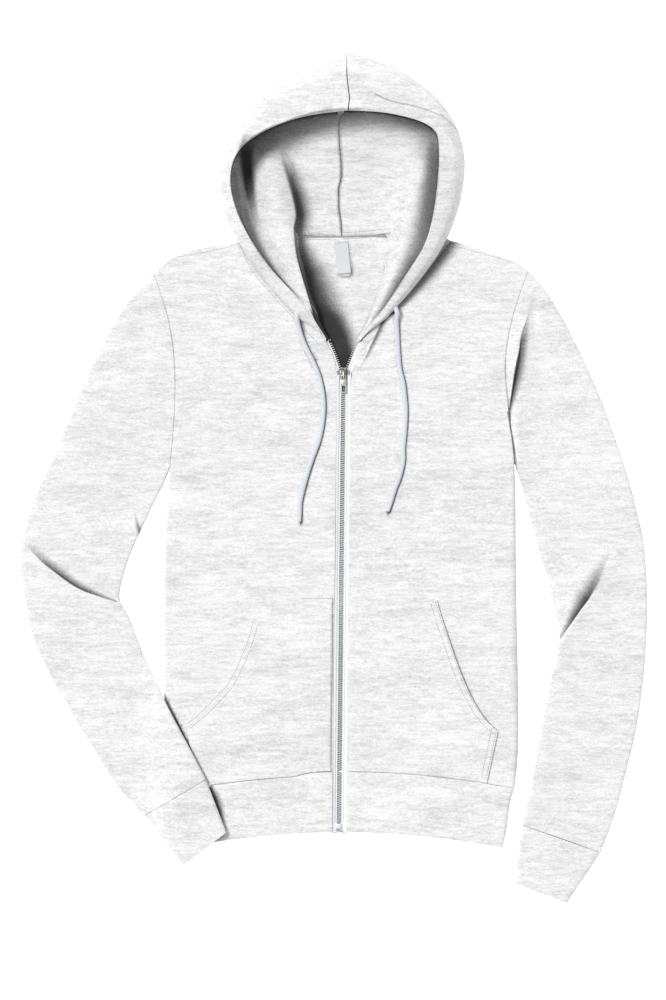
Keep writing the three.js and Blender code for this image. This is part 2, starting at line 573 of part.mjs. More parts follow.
/** The hem band: one rib strip from zip edge to zip edge around the back. */
function hemBand() {
  const radius = RIB_HEIGHT / 2;
  const rows = shares(HEM_ROWS).map((v) => {
    const at = v * (HEM_BAND.length - 1);
    const index = Math.min(Math.floor(at), HEM_BAND.length - 2);
    const mix = (name) => THREE.MathUtils.lerp(HEM_BAND[index][name], HEM_BAND[index + 1][name], at - index);
    return { rightX: mix('rightX'), leftX: mix('leftX'), sideY: mix('sideY'), middleY: mix('middleY') };
  });
  const grid = rows.map(({ rightX, leftX, sideY, middleY }) => {
    const rightFlat = rightX + radius;
    const leftFlat = leftX - radius;
    const slot = zipShift(middleY);
    const front = shares(HEM_FRONT_COLUMNS);
    const turns = [0.25, 0.5, 0.75].map((turn) => turn * Math.PI);
    const loop = [
      ...front.map((share) => [THREE.MathUtils.lerp(slot - ZIP_EDGE, rightFlat, share), RIB_HEIGHT]),
      ...turns.map((turn) => [rightFlat - radius * Math.sin(turn), radius * (1 + Math.cos(turn))]),
      ...shares(HEM_FRONT_COLUMNS * 2).map((share) => [THREE.MathUtils.lerp(rightFlat, leftFlat, share), 0]),
      ...turns.map((turn) => [leftFlat + radius * Math.sin(turn), radius * (1 - Math.cos(turn))]),
      ...front.map((share) => [THREE.MathUtils.lerp(leftFlat, slot + ZIP_EDGE, share), RIB_HEIGHT]),
    ];
    return loop.map(([x, z]) => {
      const bow = 1 - (x / (x < 0 ? rightX : leftX)) ** 2;
      return new THREE.Vector3(x, sideY + (middleY - sideY) * bow, z);
    });
  });
  return clothWall(grid, RIB, 1);
}

/** One half of the hood, from its sections: brim, side, underside, relief inside, neck. */
function hoodHalf(sections, side) {
  const lines = HOOD_KNOTS.map((knot) => (
    smoothCurve(sections.map((row) => new THREE.Vector3(...row[knot])))
  ));
  const grid = shares(HOOD_ROWS).map((s) => {
    const [brim, outer, ...rest] = lines.map((line) => line(s));
    const roll = brim.clone().lerp(outer, BRIM_ROLL.out);
    roll.z = THREE.MathUtils.lerp(brim.z, outer.z, BRIM_ROLL.sunk);
    const section = smoothCurve([brim, roll, outer, ...rest]);
    const knots = HOOD_STEPS.flatMap((steps, k) => shares(steps).slice(0, -1).map((share) => k + share));
    return [...knots, HOOD_STEPS.length].map((at) => {
      const point = section(at / HOOD_STEPS.length);
      point.x += side * SEAM_GAP * 2 * THREE.MathUtils.smoothstep(s, 0.9, 1);
      point.z = Math.max(0, point.z);
      return point;
    });
  });
  return clothWall(grid, FLEECE, side);
}

/** The side edge and the mouth of a pocket, with a sharp corner where they meet. */
function pocketEdge(rows) {
  const corner = POCKET.sideRows / POCKET_ROWS;
  const side = planCurve(rows.slice(0, 2));
  const mouth = planCurve(rows.slice(1));
  return (b) => (b < corner ? side(b / corner) : mouth((b - corner) / (1 - corner)));
}

/** A patch pocket made from the front's points, moved out, with its mouth standing up. */
function pocket(rows, mouthRise) {
  const side = Math.sign(rows[0].x);
  const zipEdge = (y) => new THREE.Vector3(side * POCKET.zipX + zipShift(y), y, 0);
  const from = pocketEdge(rows);
  const mouthTop = from(1);
  const edges = {
    from,
    to: (b) => zipEdge(THREE.MathUtils.lerp(POCKET.low, POCKET.high, b)),
    low: (a) => {
      const x = THREE.MathUtils.lerp(rows[0].x, zipEdge(POCKET.low).x, a);
      return new THREE.Vector3(x, hemSeam(x) + POCKET.gap * 2, 0);
    },
    high: (a) => mouthTop.clone().lerp(zipEdge(POCKET.high), a),
  };
  const grid = shares(POCKET_ROWS).map((b) => shares(POCKET_COLUMNS).map((a) => {
    const point = patchPoint(edges, a ** 1.5, b);
    const open = THREE.MathUtils.smoothstep(b, 0.15, 0.4) * (1 - THREE.MathUtils.smoothstep(b, 0.75, 1));
    const rise = mouthRise * open * (1 - THREE.MathUtils.smoothstep(a, 0, 0.45));
    point.z = frontTop(point.x, point.y) + POCKET.gap + FLEECE + rise;
    return point;
  }));
  return clothWall(grid, FLEECE, -side);
}

/** Middle line of one zip chain, from the hem to the top of the tape. */
function chainLine(side) {
  const straight = [CHAIN.low, 150, 290, 430].map((y) => ({ x: ZIP_TOP[0].x, y }));
  return [...straight, ...ZIP_TOP].map(({ x, y }) => (
    new THREE.Vector3(side * x + zipShift(y), y, CHAIN.z)
  ));
}

/** A bar of rectangular section along a line, shifted sideways from it. */
function bar(line, side, shift, width, height) {
  return loft(line.map((point, i) => {
    const before = line[Math.max(i - 1, 0)];
    const after = line[Math.min(i + 1, line.length - 1)];
    const away = new THREE.Vector3(after.y - before.y, before.x - after.x, 0).setLength(side);
    const corners = [[-1, -1], [1, -1], [1, 1], [-1, 1]];
    return corners.map(([across, up]) => {
      const end = point.clone().addScaledVector(away, shift + (across * width) / 2);
      end.z += (up * height) / 2;
      return end;
    });
  }));
}

/** Woven tape beside a chain, which passes under the front's edge. */
function zipTape(side) {
  const shift = CHAIN.width / 2 + TAPE.reach + TAPE.width / 2;
  return bar(chainLine(side), side, shift, TAPE.width, TAPE.thickness);
}

/** Slider: two plates joined by a post between the chains, with a bridge for the pull. */
function zipSlider() {
  const half = CHAIN.height / 2 + SEAM_GAP;
  const top = CHAIN.z + half + SLIDER.plate / 2;
  const base = CHAIN.z - half - SLIDER.plate / 2;
  const bridgeBase = top + SLIDER.plate / 2;
  const legY = (BRIDGE.length - BRIDGE.leg) / 2;
  const postY = SLIDER.y + (SLIDER.length - SLIDER.postLength) / 2;
  return joinedBlocks([
    [0, SLIDER.y, top, SLIDER.width, SLIDER.length, SLIDER.plate],
    [0, SLIDER.y, base, SLIDER.width, SLIDER.length, SLIDER.plate],
    [0, postY, CHAIN.z, SLIDER.post * 2, SLIDER.postLength, half * 2 + SLIDER.plate],
    [0, SLIDER.y + legY, bridgeBase + BRIDGE.height / 2, BRIDGE.width, BRIDGE.leg, BRIDGE.height],
    [0, SLIDER.y - legY, bridgeBase + BRIDGE.height / 2, BRIDGE.width, BRIDGE.leg, BRIDGE.height],
    [0, SLIDER.y, bridgeBase + BRIDGE.height - BRIDGE.leg / 2, BRIDGE.width, BRIDGE.length, BRIDGE.leg],
  ]);
}

/** Height of the axis that the pull tab turns on. */
const PULL_AXIS_Z = CHAIN.z + CHAIN.height / 2 + SEAM_GAP + SLIDER.plate + 1;

/** A rectangular cut out in the pull tab, between two heights. */
function pullWindow(width, high, low) {
  const half = width / 2;
  const window = new THREE.Path();
  window.moveTo(-half, high).lineTo(half, high).lineTo(half, low).lineTo(-half, low);
  return window.lineTo(-half, high);
}

/** Pull tab: a plate with a window around the bridge, its end strip being the pin. */
function zipPull() {
  const half = PULL.width / 2;
  const top = PULL.pin / 2;
  const low = -PULL.length;
  const outline = new THREE.Shape();
  outline.moveTo(-half, top).lineTo(-half, low + PULL.corner);
  outline.absarc(-half + PULL.corner, low + PULL.corner, PULL.corner, Math.PI, Math.PI * 1.5, false);
  outline.lineTo(half - PULL.corner, low);
  outline.absarc(half - PULL.corner, low + PULL.corner, PULL.corner, Math.PI * 1.5, Math.PI * 2, false);
  outline.lineTo(half, top).lineTo(-half, top);
  outline.holes.push(pullWindow(PULL.windowWidth, -top, -top - PULL.windowLength));
  outline.holes.push(pullWindow(PULL.slotWidth, -PULL.slotFrom, -PULL.slotTo));
  const plate = new THREE.ExtrudeGeometry(outline, {
    depth: PULL.thickness, bevelEnabled: false, curveSegments: PULL.endSegments,
  });
  return plate.translate(0, 0, -PULL.thickness / 2);
}

/** A round cord along its hand placed route. */
function cord(rows) {
  const outline = new THREE.Shape();
  outline.absarc(0, 0, CORD_RADIUS, 0, Math.PI * 2, false);
  const path = new THREE.CatmullRomCurve3(rows.map((row) => new THREE.Vector3(row.x, row.y, row.z)));
  return new THREE.ExtrudeGeometry(outline, {
    steps: CORD_STEPS, curveSegments: CORD_QUARTER * 2, extrudePath: path, bevelEnabled: false,
  });
}

const garment = new THREE.Group();
garment.position.set(-MIDDLE.x, -MIDDLE.y, 0);

/** Adds one named piece with a material of its own. */
function add(name, geometry, finish) {
  const mesh = new THREE.Mesh(geometry, new THREE.MeshStandardMaterial(FINISHES[finish]));
  mesh.name = name;
  garment.add(mesh);
  return mesh;
}

add('back_panel', backPanel(), 'fleece');
add('front_right', frontPanel(RIGHT_SIDE, RIGHT_FRONT_EDGE, RIGHT_SHOULDER), 'fleece');
add('front_left', frontPanel(LEFT_SIDE, LEFT_FRONT_EDGE, LEFT_SHOULDER), 'fleece');
add('sleeve_right', sleeve(RIGHT_SIDE, RIGHT_SLEEVE), 'fleece');
add('sleeve_left', sleeve(LEFT_SIDE, LEFT_SLEEVE), 'fleece');
add('cuff_right', cuff(RIGHT_SLEEVE, RIGHT_CUFF_END), 'rib');
add('cuff_left', cuff(LEFT_SLEEVE, LEFT_CUFF_END), 'rib');
add('hem_band', hemBand(), 'rib');
add('hood_right', hoodHalf(RIGHT_HOOD, -1), 'fleece');
add('hood_left', hoodHalf(LEFT_HOOD, 1), 'fleece');
add('pocket_right', pocket(RIGHT_POCKET, POCKET.rightRise), 'fleece');
add('pocket_left', pocket(LEFT_POCKET, POCKET.leftRise), 'fleece');
for (const [name, side] of [['right', -1], ['left', 1]]) {
  add(`zip_tape_${name}`, zipTape(side), 'tape');
  add(`zip_chain_${name}`, bar(chainLine(side), side, 0, CHAIN.width, CHAIN.height), 'metal');
}
add('zip_slider', zipSlider(), 'metal').position.x = zipShift(SLIDER.y);
add('zip_pull', zipPull(), 'metal').position.set(zipShift(SLIDER.y), SLIDER.y, PULL_AXIS_Z);
const stop = new THREE.BoxGeometry(BOTTOM_STOP.width, BOTTOM_STOP.length, BOTTOM_STOP.height);
const stopY = CHAIN.low - SEAM_GAP - BOTTOM_STOP.length / 2;
add('zip_bottom_stop', stop, 'metal').position.set(zipShift(stopY), stopY, CHAIN.z);
add('drawcord_right', cord(RIGHT_CORD), 'cord');
add('drawcord_left', cord(LEFT_CORD), 'cord');
const label = add('neck_label', new THREE.BoxGeometry(LABEL.width, LABEL.length, LABEL_WALL), 'label');
label.position.set(LABEL.x, LABEL.y, FLEECE + SEAM_GAP + LABEL_WALL / 2);
label.rotation.z = LABEL.turn;

export default garment;
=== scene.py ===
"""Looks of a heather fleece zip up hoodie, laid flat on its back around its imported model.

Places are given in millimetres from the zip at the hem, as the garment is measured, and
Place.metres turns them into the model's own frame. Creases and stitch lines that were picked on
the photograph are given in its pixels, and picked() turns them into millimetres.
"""

import logging
import math
from dataclasses import dataclass, field
from enum import Enum

import bmesh
import bpy
import numpy as np
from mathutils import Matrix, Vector
from mathutils.bvhtree import BVHTree


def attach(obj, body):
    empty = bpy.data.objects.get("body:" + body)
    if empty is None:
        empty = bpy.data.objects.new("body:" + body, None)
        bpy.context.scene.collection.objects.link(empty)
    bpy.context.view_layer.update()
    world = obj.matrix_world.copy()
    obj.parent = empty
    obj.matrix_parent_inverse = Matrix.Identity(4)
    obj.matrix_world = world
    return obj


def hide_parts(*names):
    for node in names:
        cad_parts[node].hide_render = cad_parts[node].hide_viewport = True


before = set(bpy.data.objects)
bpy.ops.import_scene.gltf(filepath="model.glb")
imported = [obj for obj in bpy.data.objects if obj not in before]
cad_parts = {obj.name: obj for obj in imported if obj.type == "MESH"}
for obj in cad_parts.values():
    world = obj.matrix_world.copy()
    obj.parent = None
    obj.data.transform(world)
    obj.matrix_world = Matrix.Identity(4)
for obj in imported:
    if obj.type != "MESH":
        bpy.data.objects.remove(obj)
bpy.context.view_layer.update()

log = logging.getLogger("hoodie")

MM = 0.001
GARMENT = "garment"
PULL_TAB = "pull_tab"
ZIP_AT = Vector((8.0, -418.0, 0.0))

Point2 = tuple[float, float]
Point3 = tuple[float, float, float]


class Layer(Enum):
    """Which face of a laid piece a mark or fold lies on."""

    TOP = "top"
    UNDERSIDE = "underside"


@dataclass(frozen=True)
class Place:
    """A point in millimetres from the zip at the hem."""

    x: float
    y: float
    z: float = 0.0

    def metres(self) -> Vector:
        """Returns the point in the model's frame, in metres."""
        return (Vector((self.x, self.y, self.z)) + ZIP_AT) * MM


PHOTO_SCALE = 1.18
PHOTO_ZIP_COLUMN = 342.0
PHOTO_HEM_ROW = 832.0


def picked(*pixels: Point2) -> tuple[Point2, ...]:
    """Turns places picked on the 666 by 1000 pixel photograph into millimetres.

    Args:
        pixels: Column and row of each place.

    Returns:
        The places from the zip at the hem.
    """
    return tuple(((x - PHOTO_ZIP_COLUMN) * PHOTO_SCALE, (PHOTO_HEM_ROW - y) * PHOTO_SCALE) for x,
         y in pixels)


def spline(points: list[Vector], step: float) -> list[Vector]:
    """Runs a smooth curve through points and resamples it evenly.

    Args:
        points: Points that the curve passes through.
        step: Distance between samples.

    Returns:
        The samples, with both ends.
    """
    ends = [points[0] * 2 - points[1], *points, points[-1] * 2 - points[-2]]
    fine = []
    for before, start, end, after in zip(ends, ends[1:], ends[2:], ends[3:]):
        for share in np.linspace(0, 1, 12, endpoint=False):
            t = float(share)
            fine.append(0.5 * ((2 * start) + (end - before) * t
                               + (2 * before - 5 * start + 4 * end - after) * t ** 2
                               + (3 * start - before - 3 * end + after) * t ** 3))
    fine.append(points[-1].copy())
    lengths = np.cumsum([0.0] + [(b - a).length for a, b in zip(fine, fine[1:])])
    count = max(1, round(lengths[-1] / step))
    coords = np.array([tuple(p) for p in fine])
    marks = np.linspace(0, lengths[-1], count + 1)
    return [Vector([float(np.interp(m, lengths, coords[:, k])) for k in range(3)]) for m in marks]


def new_object(name: str, mesh: bpy.types.Mesh) -> bpy.types.Object:
    """Links a mesh to the scene under a name and returns its object."""
    item = bpy.data.objects.new(name, mesh)
    bpy.context.scene.collection.objects.link(item)
    return item


def mesh_from(name: str, verts: list, faces: list, smooth: bool = True) -> bpy.types.Object:
    """Makes an object from points and faces.

    Args:
        name: The object's name.
        verts: Points in metres.
        faces: Tuples of point numbers.
        smooth: Whether the faces are shaded smooth.

    Returns:
        The linked object.
    """
    mesh = bpy.data.meshes.new(name)
    mesh.from_pydata([tuple(v) for v in verts], [], faces)
    mesh.polygons.foreach_set("use_smooth", [smooth] * len(mesh.polygons))
    mesh.update()
    return new_object(name, mesh)


def beside(line: tuple[Point2, ...], xy: np.ndarray,
           reach: float) -> tuple[np.ndarray, np.ndarray, np.ndarray]:
    """Finds where places lie beside a line.

    Args:
        line: Points of the line in millimetres.
        xy: Places in millimetres, one row each.
        reach: Distance beyond which places count as far away.

    Returns:
        The signed distance from the line, which is positive on the left of its direction, the
        share of its length at the nearest point, and the direction to the left there.
    """
    samples = spline([Vector((x, y, 0)) for x, y in line], 2.5)
    path = np.array([(p.x, p.y) for p in samples])
    signed = np.full(len(xy), 1e6)
    share = np.zeros(len(xy))
    left = np.zeros((len(xy), 2))
    low, high = path.min(0) - reach, path.max(0) + reach
    close = np.flatnonzero(((xy > low) & (xy < high)).all(1))
    total = len(path) - 1
    for k in range(total):
        start, run = path[k], path[k + 1] - path[k]
        away = xy[close] - start
        at = np.clip((away @ run) / (run @ run), 0, 1)
        off = away - at[:, None] * run
        dist = np.hypot(off[:, 0], off[:, 1])
        side = np.where(run[0] * away[:, 1] - run[1] * away[:, 0] >= 0, 1.0, -1.0)
        closer = dist < np.abs(signed[close])
        spots = close[closer]
        signed[spots] = (dist * side)[closer]
        share[spots] = ((k + at) / total)[closer]
        left[spots] = np.array((-run[1], run[0])) / math.hypot(*run)
    return signed, share, left


@dataclass(frozen=True)
class Fold:
    """A crease in a laid cloth: a crest that leans over a trough, on both sides of a line.

    The crest lies to the left of the line's direction.
    """

    line: tuple[Point2, ...]
    crest: float
    crest_width: float
    trough: float = 0.0
    trough_width: float = 6.0
    over: float = 1.5
    blend: float = 1.0
    fade: float = 0.5
    layer: Layer = Layer.TOP

    def move(self, xy: np.ndarray) -> tuple[np.ndarray, np.ndarray]:
        """Finds how far the fold moves the cloth.

        Args:
            xy: Places in millimetres, one row each.

        Returns:
            The height that it adds at each place, and its shift sideways.
        """
        signed, share, left = beside(self.line, xy, 60.0)
        fade = np.sin(np.pi * np.clip(share, 0.01, 0.99)) ** self.fade * (np.abs(signed) < 1e5)
        rise = self.crest * np.exp(-np.maximum(signed, 0) / self.crest_width)
        dip = -self.trough * np.exp(-np.maximum(-signed, 0) / self.trough_width)
        mix = 0.5 + 0.5 * np.tanh(signed / self.blend)
        lean = 0.5 + 0.5 * np.tanh((signed + 0.4 * self.blend) / (0.5 * self.blend))
        lean *= self.over * np.exp(-np.maximum(signed, 0) / 6.0)
        return (rise * mix + dip * (1 - mix)) * fade, -left * (lean * fade)[:, None]


@dataclass(frozen=True)
class Stretch:
    """A soft pull of the cloth beside a line, in one direction."""

    line: tuple[Point2, ...]
    pull: Point2
    width: float
    layer: Layer = Layer.TOP

    def move(self, xy: np.ndarray) -> tuple[np.ndarray, np.ndarray]:
        """Returns no height, and the shift of each place."""
        signed = beside(self.line, xy, self.width * 3)[0]
        return np.zeros(len(xy)), np.exp(-((signed / self.width) ** 2))[:, None] * np.array(self.pull)


@dataclass(frozen=True)
class Shade:
    """A painted shade: a soft darkening of the colour beside a line, where one cloth lies close over
    another.

    Its strengths and its widths to the left and right run evenly from the line's start to its end.
    """

    line: tuple[Point2, ...]
    pieces: tuple[str, ...]
    strengths: tuple[float, ...]
    left: tuple[float, ...] = (0.6,)
    right: tuple[float, ...] = (0.6,)
    core: float = 0.1
    below: float = 200.0

    def depth(self, place: np.ndarray) -> np.ndarray:
        """Returns how much the shade darkens each place, from 0 to 1."""
        signed, share, _ = beside(self.line, place[:, :2], max(*self.left, *self.right) + 1)
        strength, left, right = (
            np.interp(share, np.linspace(0, 1, max(2, len(row))), row if len(row) > 1 else row * 2)
            for row in (self.strengths, self.left, self.right))
        out = np.abs(signed) / np.where(signed > 0, left, right)
        away = np.clip((out - self.core) / (1 - self.core), 0, 1)
        deep = strength * (1 - away * away * (3 - 2 * away))
        return deep * np.clip((self.below - place[:, 2]) / 3, 0, 1)


@dataclass(frozen=True)
class Ripple:
    """A soft rise or dip with no edge, along a line."""

    start: Point2
    end: Point2
    width: float
    height: float
    layer: Layer = Layer.TOP

    def move(self, xy: np.ndarray) -> tuple[np.ndarray, np.ndarray]:
        """Returns the height that the ripple adds at each place, and no shift."""
        start, run = np.array(self.start), np.array(self.end) - np.array(self.start)
        at = np.clip(((xy - start) @ run) / (run @ run), 0, 1)
        off = xy - start - at[:, None] * run
        dist = np.hypot(off[:, 0], off[:, 1])
        return self.height * np.exp(-((dist / self.width) ** 2)), np.zeros((len(xy), 2))


@dataclass(frozen=True)
class ShaderKit:
    """Small helpers for building node trees."""

    tree: bpy.types.NodeTree

    def node(self, kind: str, **settings: object) -> bpy.types.Node:
        """Adds a node and sets its plain properties."""
        made = self.tree.nodes.new(kind)
        for name, value in settings.items():
            setattr(made, name, value)
        return made

    def link(self, source: bpy.types.NodeSocket, target: bpy.types.NodeSocket) -> None:
        """Joins two sockets."""
        self.tree.links.new(source, target)

    def math(self, operation: str, first: object, second: object = None) -> bpy.types.NodeSocket:
        """Adds a math node and returns its output."""
        made = self.node("ShaderNodeMath", operation=operation)
        for socket, value in zip(made.inputs, (first, second)):
            if isinstance(value, (int, float)):
                socket.default_value = value
            elif value is not None:
                self.link(value, socket)
        return made.outputs[0]

    def remap(self, value: bpy.types.NodeSocket, low: float, high: float,
              to_low: float = 0.0, to_high: float = 1.0) -> bpy.types.NodeSocket:
        """Adds a smooth map range node and returns its output."""
        made = self.node("ShaderNodeMapRange", interpolation_type="SMOOTHSTEP")
        self.link(value, made.inputs["Value"])
        for name, number in (("From Min", low), ("From Max", high), ("To Min", to_low), ("To Max",
             to_high)):
            made.inputs[name].default_value = number
        return made.outputs["Result"]

    def noise(self, vector: bpy.types.NodeSocket, scale: float, detail: float = 2.0,
              rough: float = 0.5) -> bpy.types.NodeSocket:
        """Adds a noise texture and returns its value."""
        made = self.node("ShaderNodeTexNoise")
        made.inputs["Scale"].default_value = scale
        made.inputs["Detail"].default_value = detail
        made.inputs["Roughness"].default_value = rough
        self.link(vector, made.inputs["Vector"])
        return made.outputs["Fac"]

    def stretched(self, vector: bpy.types.NodeSocket, scale: Point3, turn: float = 0.0,
                  shift: float = 0.0) -> bpy.types.NodeSocket:
        """Scales and turns coordinates and returns them."""
        made = self.node("ShaderNodeMapping")
        made.inputs["Scale"].default_value = scale
        made.inputs["Rotation"].default_value = (0.0, 0.0, turn)
        made.inputs["Location"].default_value = (shift, shift * 0.7, shift * 0.3)
        self.link(vector, made.inputs["Vector"])
        return made.outputs["Vector"]

    def mix_colour(self, share: bpy.types.NodeSocket, first: object,
         second: object) -> bpy.types.NodeSocket:
        """Mixes two colours by a share and returns the result."""
        made = self.node("ShaderNodeMix", data_type="RGBA")
        self.link(share, made.inputs["Factor"])
        for socket, value in ((made.inputs[6], first), (made.inputs[7], second)):
            if isinstance(value, tuple):
                socket.default_value = (*value, 1.0)
            else:
                self.link(value, socket)
        return made.outputs[2]


def new_group(name: str, outputs: dict[str, str], inputs: dict[str, float]) -> tuple[ShaderKit, dict]:
    """Starts a shader group with named sockets.

    Args:
        name: The group's name.
        outputs: Name and socket type of each output.
        inputs: Name and first value of each float input, beside the Vector input.

    Returns:
        A kit for its tree, and its input sockets, output sockets and tree by name.
    """
    tree = bpy.data.node_groups.new(name, "ShaderNodeTree")
    tree.interface.new_socket("Vector", in_out="INPUT", socket_type="NodeSocketVector")
    for socket_name, value in inputs.items():
        made = tree.interface.new_socket(socket_name, in_out="INPUT", socket_type="NodeSocketFloat")
        made.default_value = value
    for socket_name, kind in outputs.items():
        tree.interface.new_socket(socket_name, in_out="OUTPUT", socket_type=kind)
    kit = ShaderKit(tree)
    ends = {"in": kit.node("NodeGroupInput").outputs, "out": kit.node("NodeGroupOutput").inputs,
         "tree": tree}
    return kit, ends


class FibreEffects:
    """Shader groups that several cloth materials share."""

    def __init__(self) -> None:
        """Builds each group once."""
        self.heather = self._heather()
        self.knit = self._knit()
        self.painted_shade = self._painted_shade()

    def _heather(self) -> bpy.types.NodeTree:
        """Builds the group for grey fibres carded into pale yarn: clouds, streaks and specks."""
        kit, ends = new_group(
            "heather_fibres", {"Share": "NodeSocketFloat"}, {"Clouds": 1.0, "Streaks": 1.0, "Specks": 1.0})
        vector = ends["in"]["Vector"]
        layers = (
            ("Clouds", (15.0, 64.0, 56.0), 3.0, 1.4),
            ("Streaks", (52.0, 270.0, 250.0), 2.0, 1.5),
            ("Streaks", (190.0, 520.0, 480.0), 2.0, 1.4),
            ("Specks", (560.0, 640.0, 600.0), 1.0, 1.3),
        )
        total = None
        for index, (amount, scale, detail, weight) in enumerate(layers):
            fibres = kit.noise(kit.stretched(vector, scale, 0.02 * index, 3.7 * index), 1.0, detail, 0.6)
            part = kit.math("MULTIPLY", kit.math("SUBTRACT", fibres, 0.5), weight)
            part = kit.math("MULTIPLY", part, ends["in"][amount])
            total = part if total is None else kit.math("ADD", total, part)
        share = kit.math("ADD", total, 0.36)
        kit.link(kit.math("MINIMUM", kit.math("MAXIMUM", share, 0.0), 1.0), ends["out"]["Share"])
        return ends["tree"]

    def _knit(self) -> bpy.types.NodeTree:
        """Builds the group for the height of fine knit stitches under a soft nap."""
        kit, ends = new_group("knit_relief", {"Height": "NodeSocketFloat"}, {"Nap": 1.0})
        vector = ends["in"]["Vector"]
        wales = kit.node("ShaderNodeTexWave", wave_type="BANDS", bands_direction="X")
        wales.inputs["Scale"].default_value = 260.0
        wales.inputs["Distortion"].default_value = 1.2
        wales.inputs["Detail"].default_value = 1.0
        kit.link(vector, wales.inputs["Vector"])
        courses = kit.node("ShaderNodeTexWave", wave_type="BANDS", bands_direction="Y")
        courses.inputs["Scale"].default_value = 330.0
        courses.inputs["Distortion"].default_value = 1.5
        courses.inputs["Detail"].default_value = 1.0
        kit.link(vector, courses.inputs["Vector"])
        nap = kit.noise(vector, 700.0, 3.0, 0.7)
        soft = kit.math("MULTIPLY", nap, ends["in"]["Nap"])
        stitches = kit.math("ADD", wales.outputs["Fac"], courses.outputs["Fac"])
        kit.link(kit.math("ADD", kit.math("MULTIPLY", stitches, 0.35), soft), ends["out"]["Height"])
        return ends["tree"]

    def _painted_shade(self) -> bpy.types.NodeTree:
        """Builds the group of painted shade, which deepens the colour where cloth lies deep inside folds
        and beside edges, with fuzz at the shade's edges.
        """
        kit, ends = new_group("painted_shade_tone", {"Share": "NodeSocketFloat"}, {"Amount": 1.0, "Shade Fuzz": 0.5})
        depth = kit.node("ShaderNodeAttribute", attribute_name=PaintedHollowShade.NAME).outputs["Fac"]
        fuzz = kit.math("SUBTRACT", kit.noise(ends["in"]["Vector"], 900.0, 2.0, 0.7), 0.5)
        edge = kit.math("MULTIPLY", depth, kit.math("SUBTRACT", 1.0, depth))
        amount = kit.math("MULTIPLY", ends["in"]["Shade Fuzz"], 8.0)
        grain = kit.math("MULTIPLY", kit.math("MULTIPLY", fuzz, edge), amount)
        share = kit.math("MINIMUM", kit.math("MAXIMUM", kit.math("ADD", depth, grain), 0.0), 1.0)
        kit.link(kit.math("MULTIPLY", share, ends["in"]["Amount"]), ends["out"]["Share"])
        return ends["tree"]


def start_material(name: str) -> tuple[bpy.types.Material, ShaderKit, bpy.types.Node, bpy.types.NodeSocket]:
    """Makes a material with a Principled shader.

    Args:
        name: The material's name.

    Returns:
        The material, a kit for its tree, its shader node and its object coordinates.
    """
    material = bpy.data.materials.new(name)
    material.use_nodes = True
    kit = ShaderKit(material.node_tree)
    shader = next(n for n in material.node_tree.nodes if n.type == "BSDF_PRINCIPLED")
    coords = kit.node("ShaderNodeTexCoord").outputs["Object"]
    return material, kit, shader, coords


def add_bump(kit: ShaderKit, shader: bpy.types.Node, height: bpy.types.NodeSocket,
             strength: float, distance: float) -> None:
    """Feeds a height into the shader's normal through a bump node."""
    bump = kit.node("ShaderNodeBump")
    bump.inputs["Strength"].default_value = strength
    bump.inputs["Distance"].default_value = distance
    kit.link(height, bump.inputs["Height"])
    kit.link(bump.outputs["Normal"], shader.inputs["Normal"])


@dataclass(frozen=True)
class HeatherFinish:
    """Ash white heather knit, plain or ribbed, darkened by painted shade in folds, hollows and beside
    edges.
    """

    name: str
    pale: Point3 = (0.90, 0.90, 0.90)
    grey: Point3 = (0.615, 0.615, 0.617)
    # The colour of the deepest painted shade.
    deep: Point3 = (0.012, 0.012, 0.013)
    clouds: float = 1.0
    streaks: float = 1.0
    specks: float = 1.0
    painted_shade: float = 0.97
    # How much fuzz breaks up the edges of the painted shade.
    grain: float = 0.5
    nap: float = 1.0
    relief: float = 0.3
    rib_pitch: float = 0.0
    rib_turn: float = 0.0

    def build(self, effects: FibreEffects) -> bpy.types.Material:
        """Returns the material."""
        material, kit, shader, coords = start_material(self.name)
        fibres = kit.node("ShaderNodeGroup", node_tree=effects.heather)
        for name, value in (("Clouds", self.clouds), ("Streaks", self.streaks), ("Specks", self.specks)):
            fibres.inputs[name].default_value = value
        kit.link(coords, fibres.inputs["Vector"])
        colour = kit.mix_colour(fibres.outputs["Share"], self.pale, self.grey)
        # Painted shade: mixes the heather towards the deep colour by the depth stored on the points.
        painted_shade = kit.node("ShaderNodeGroup", node_tree=effects.painted_shade)
        painted_shade.inputs["Amount"].default_value = self.painted_shade
        painted_shade.inputs["Shade Fuzz"].default_value = self.grain
        kit.link(coords, painted_shade.inputs["Vector"])
        kit.link(kit.mix_colour(painted_shade.outputs["Share"], colour, self.deep), shader.inputs["Base Color"])
        knit = kit.node("ShaderNodeGroup", node_tree=effects.knit)
        knit.inputs["Nap"].default_value = self.nap
        kit.link(coords, knit.inputs["Vector"])
        height = knit.outputs["Height"]
        if self.rib_pitch:
            ribs = kit.node("ShaderNodeTexWave", wave_type="BANDS", bands_direction="X")
            ribs.inputs["Scale"].default_value = 0.05 * math.tau / self.rib_pitch
            kit.link(kit.stretched(coords, (1.0, 1.0, 1.0), self.rib_turn), ribs.inputs["Vector"])
            height = kit.math("ADD", height, kit.math("MULTIPLY", ribs.outputs["Fac"], 0.8))
        add_bump(kit, shader, height, self.relief, 0.0006)
        shader.inputs["Roughness"].default_value = 0.95
        shader.inputs["Specular IOR Level"].default_value = 0.15
        shader.inputs["Sheen Weight"].default_value = 0.08
        shader.inputs["Sheen Roughness"].default_value = 0.6
        return material


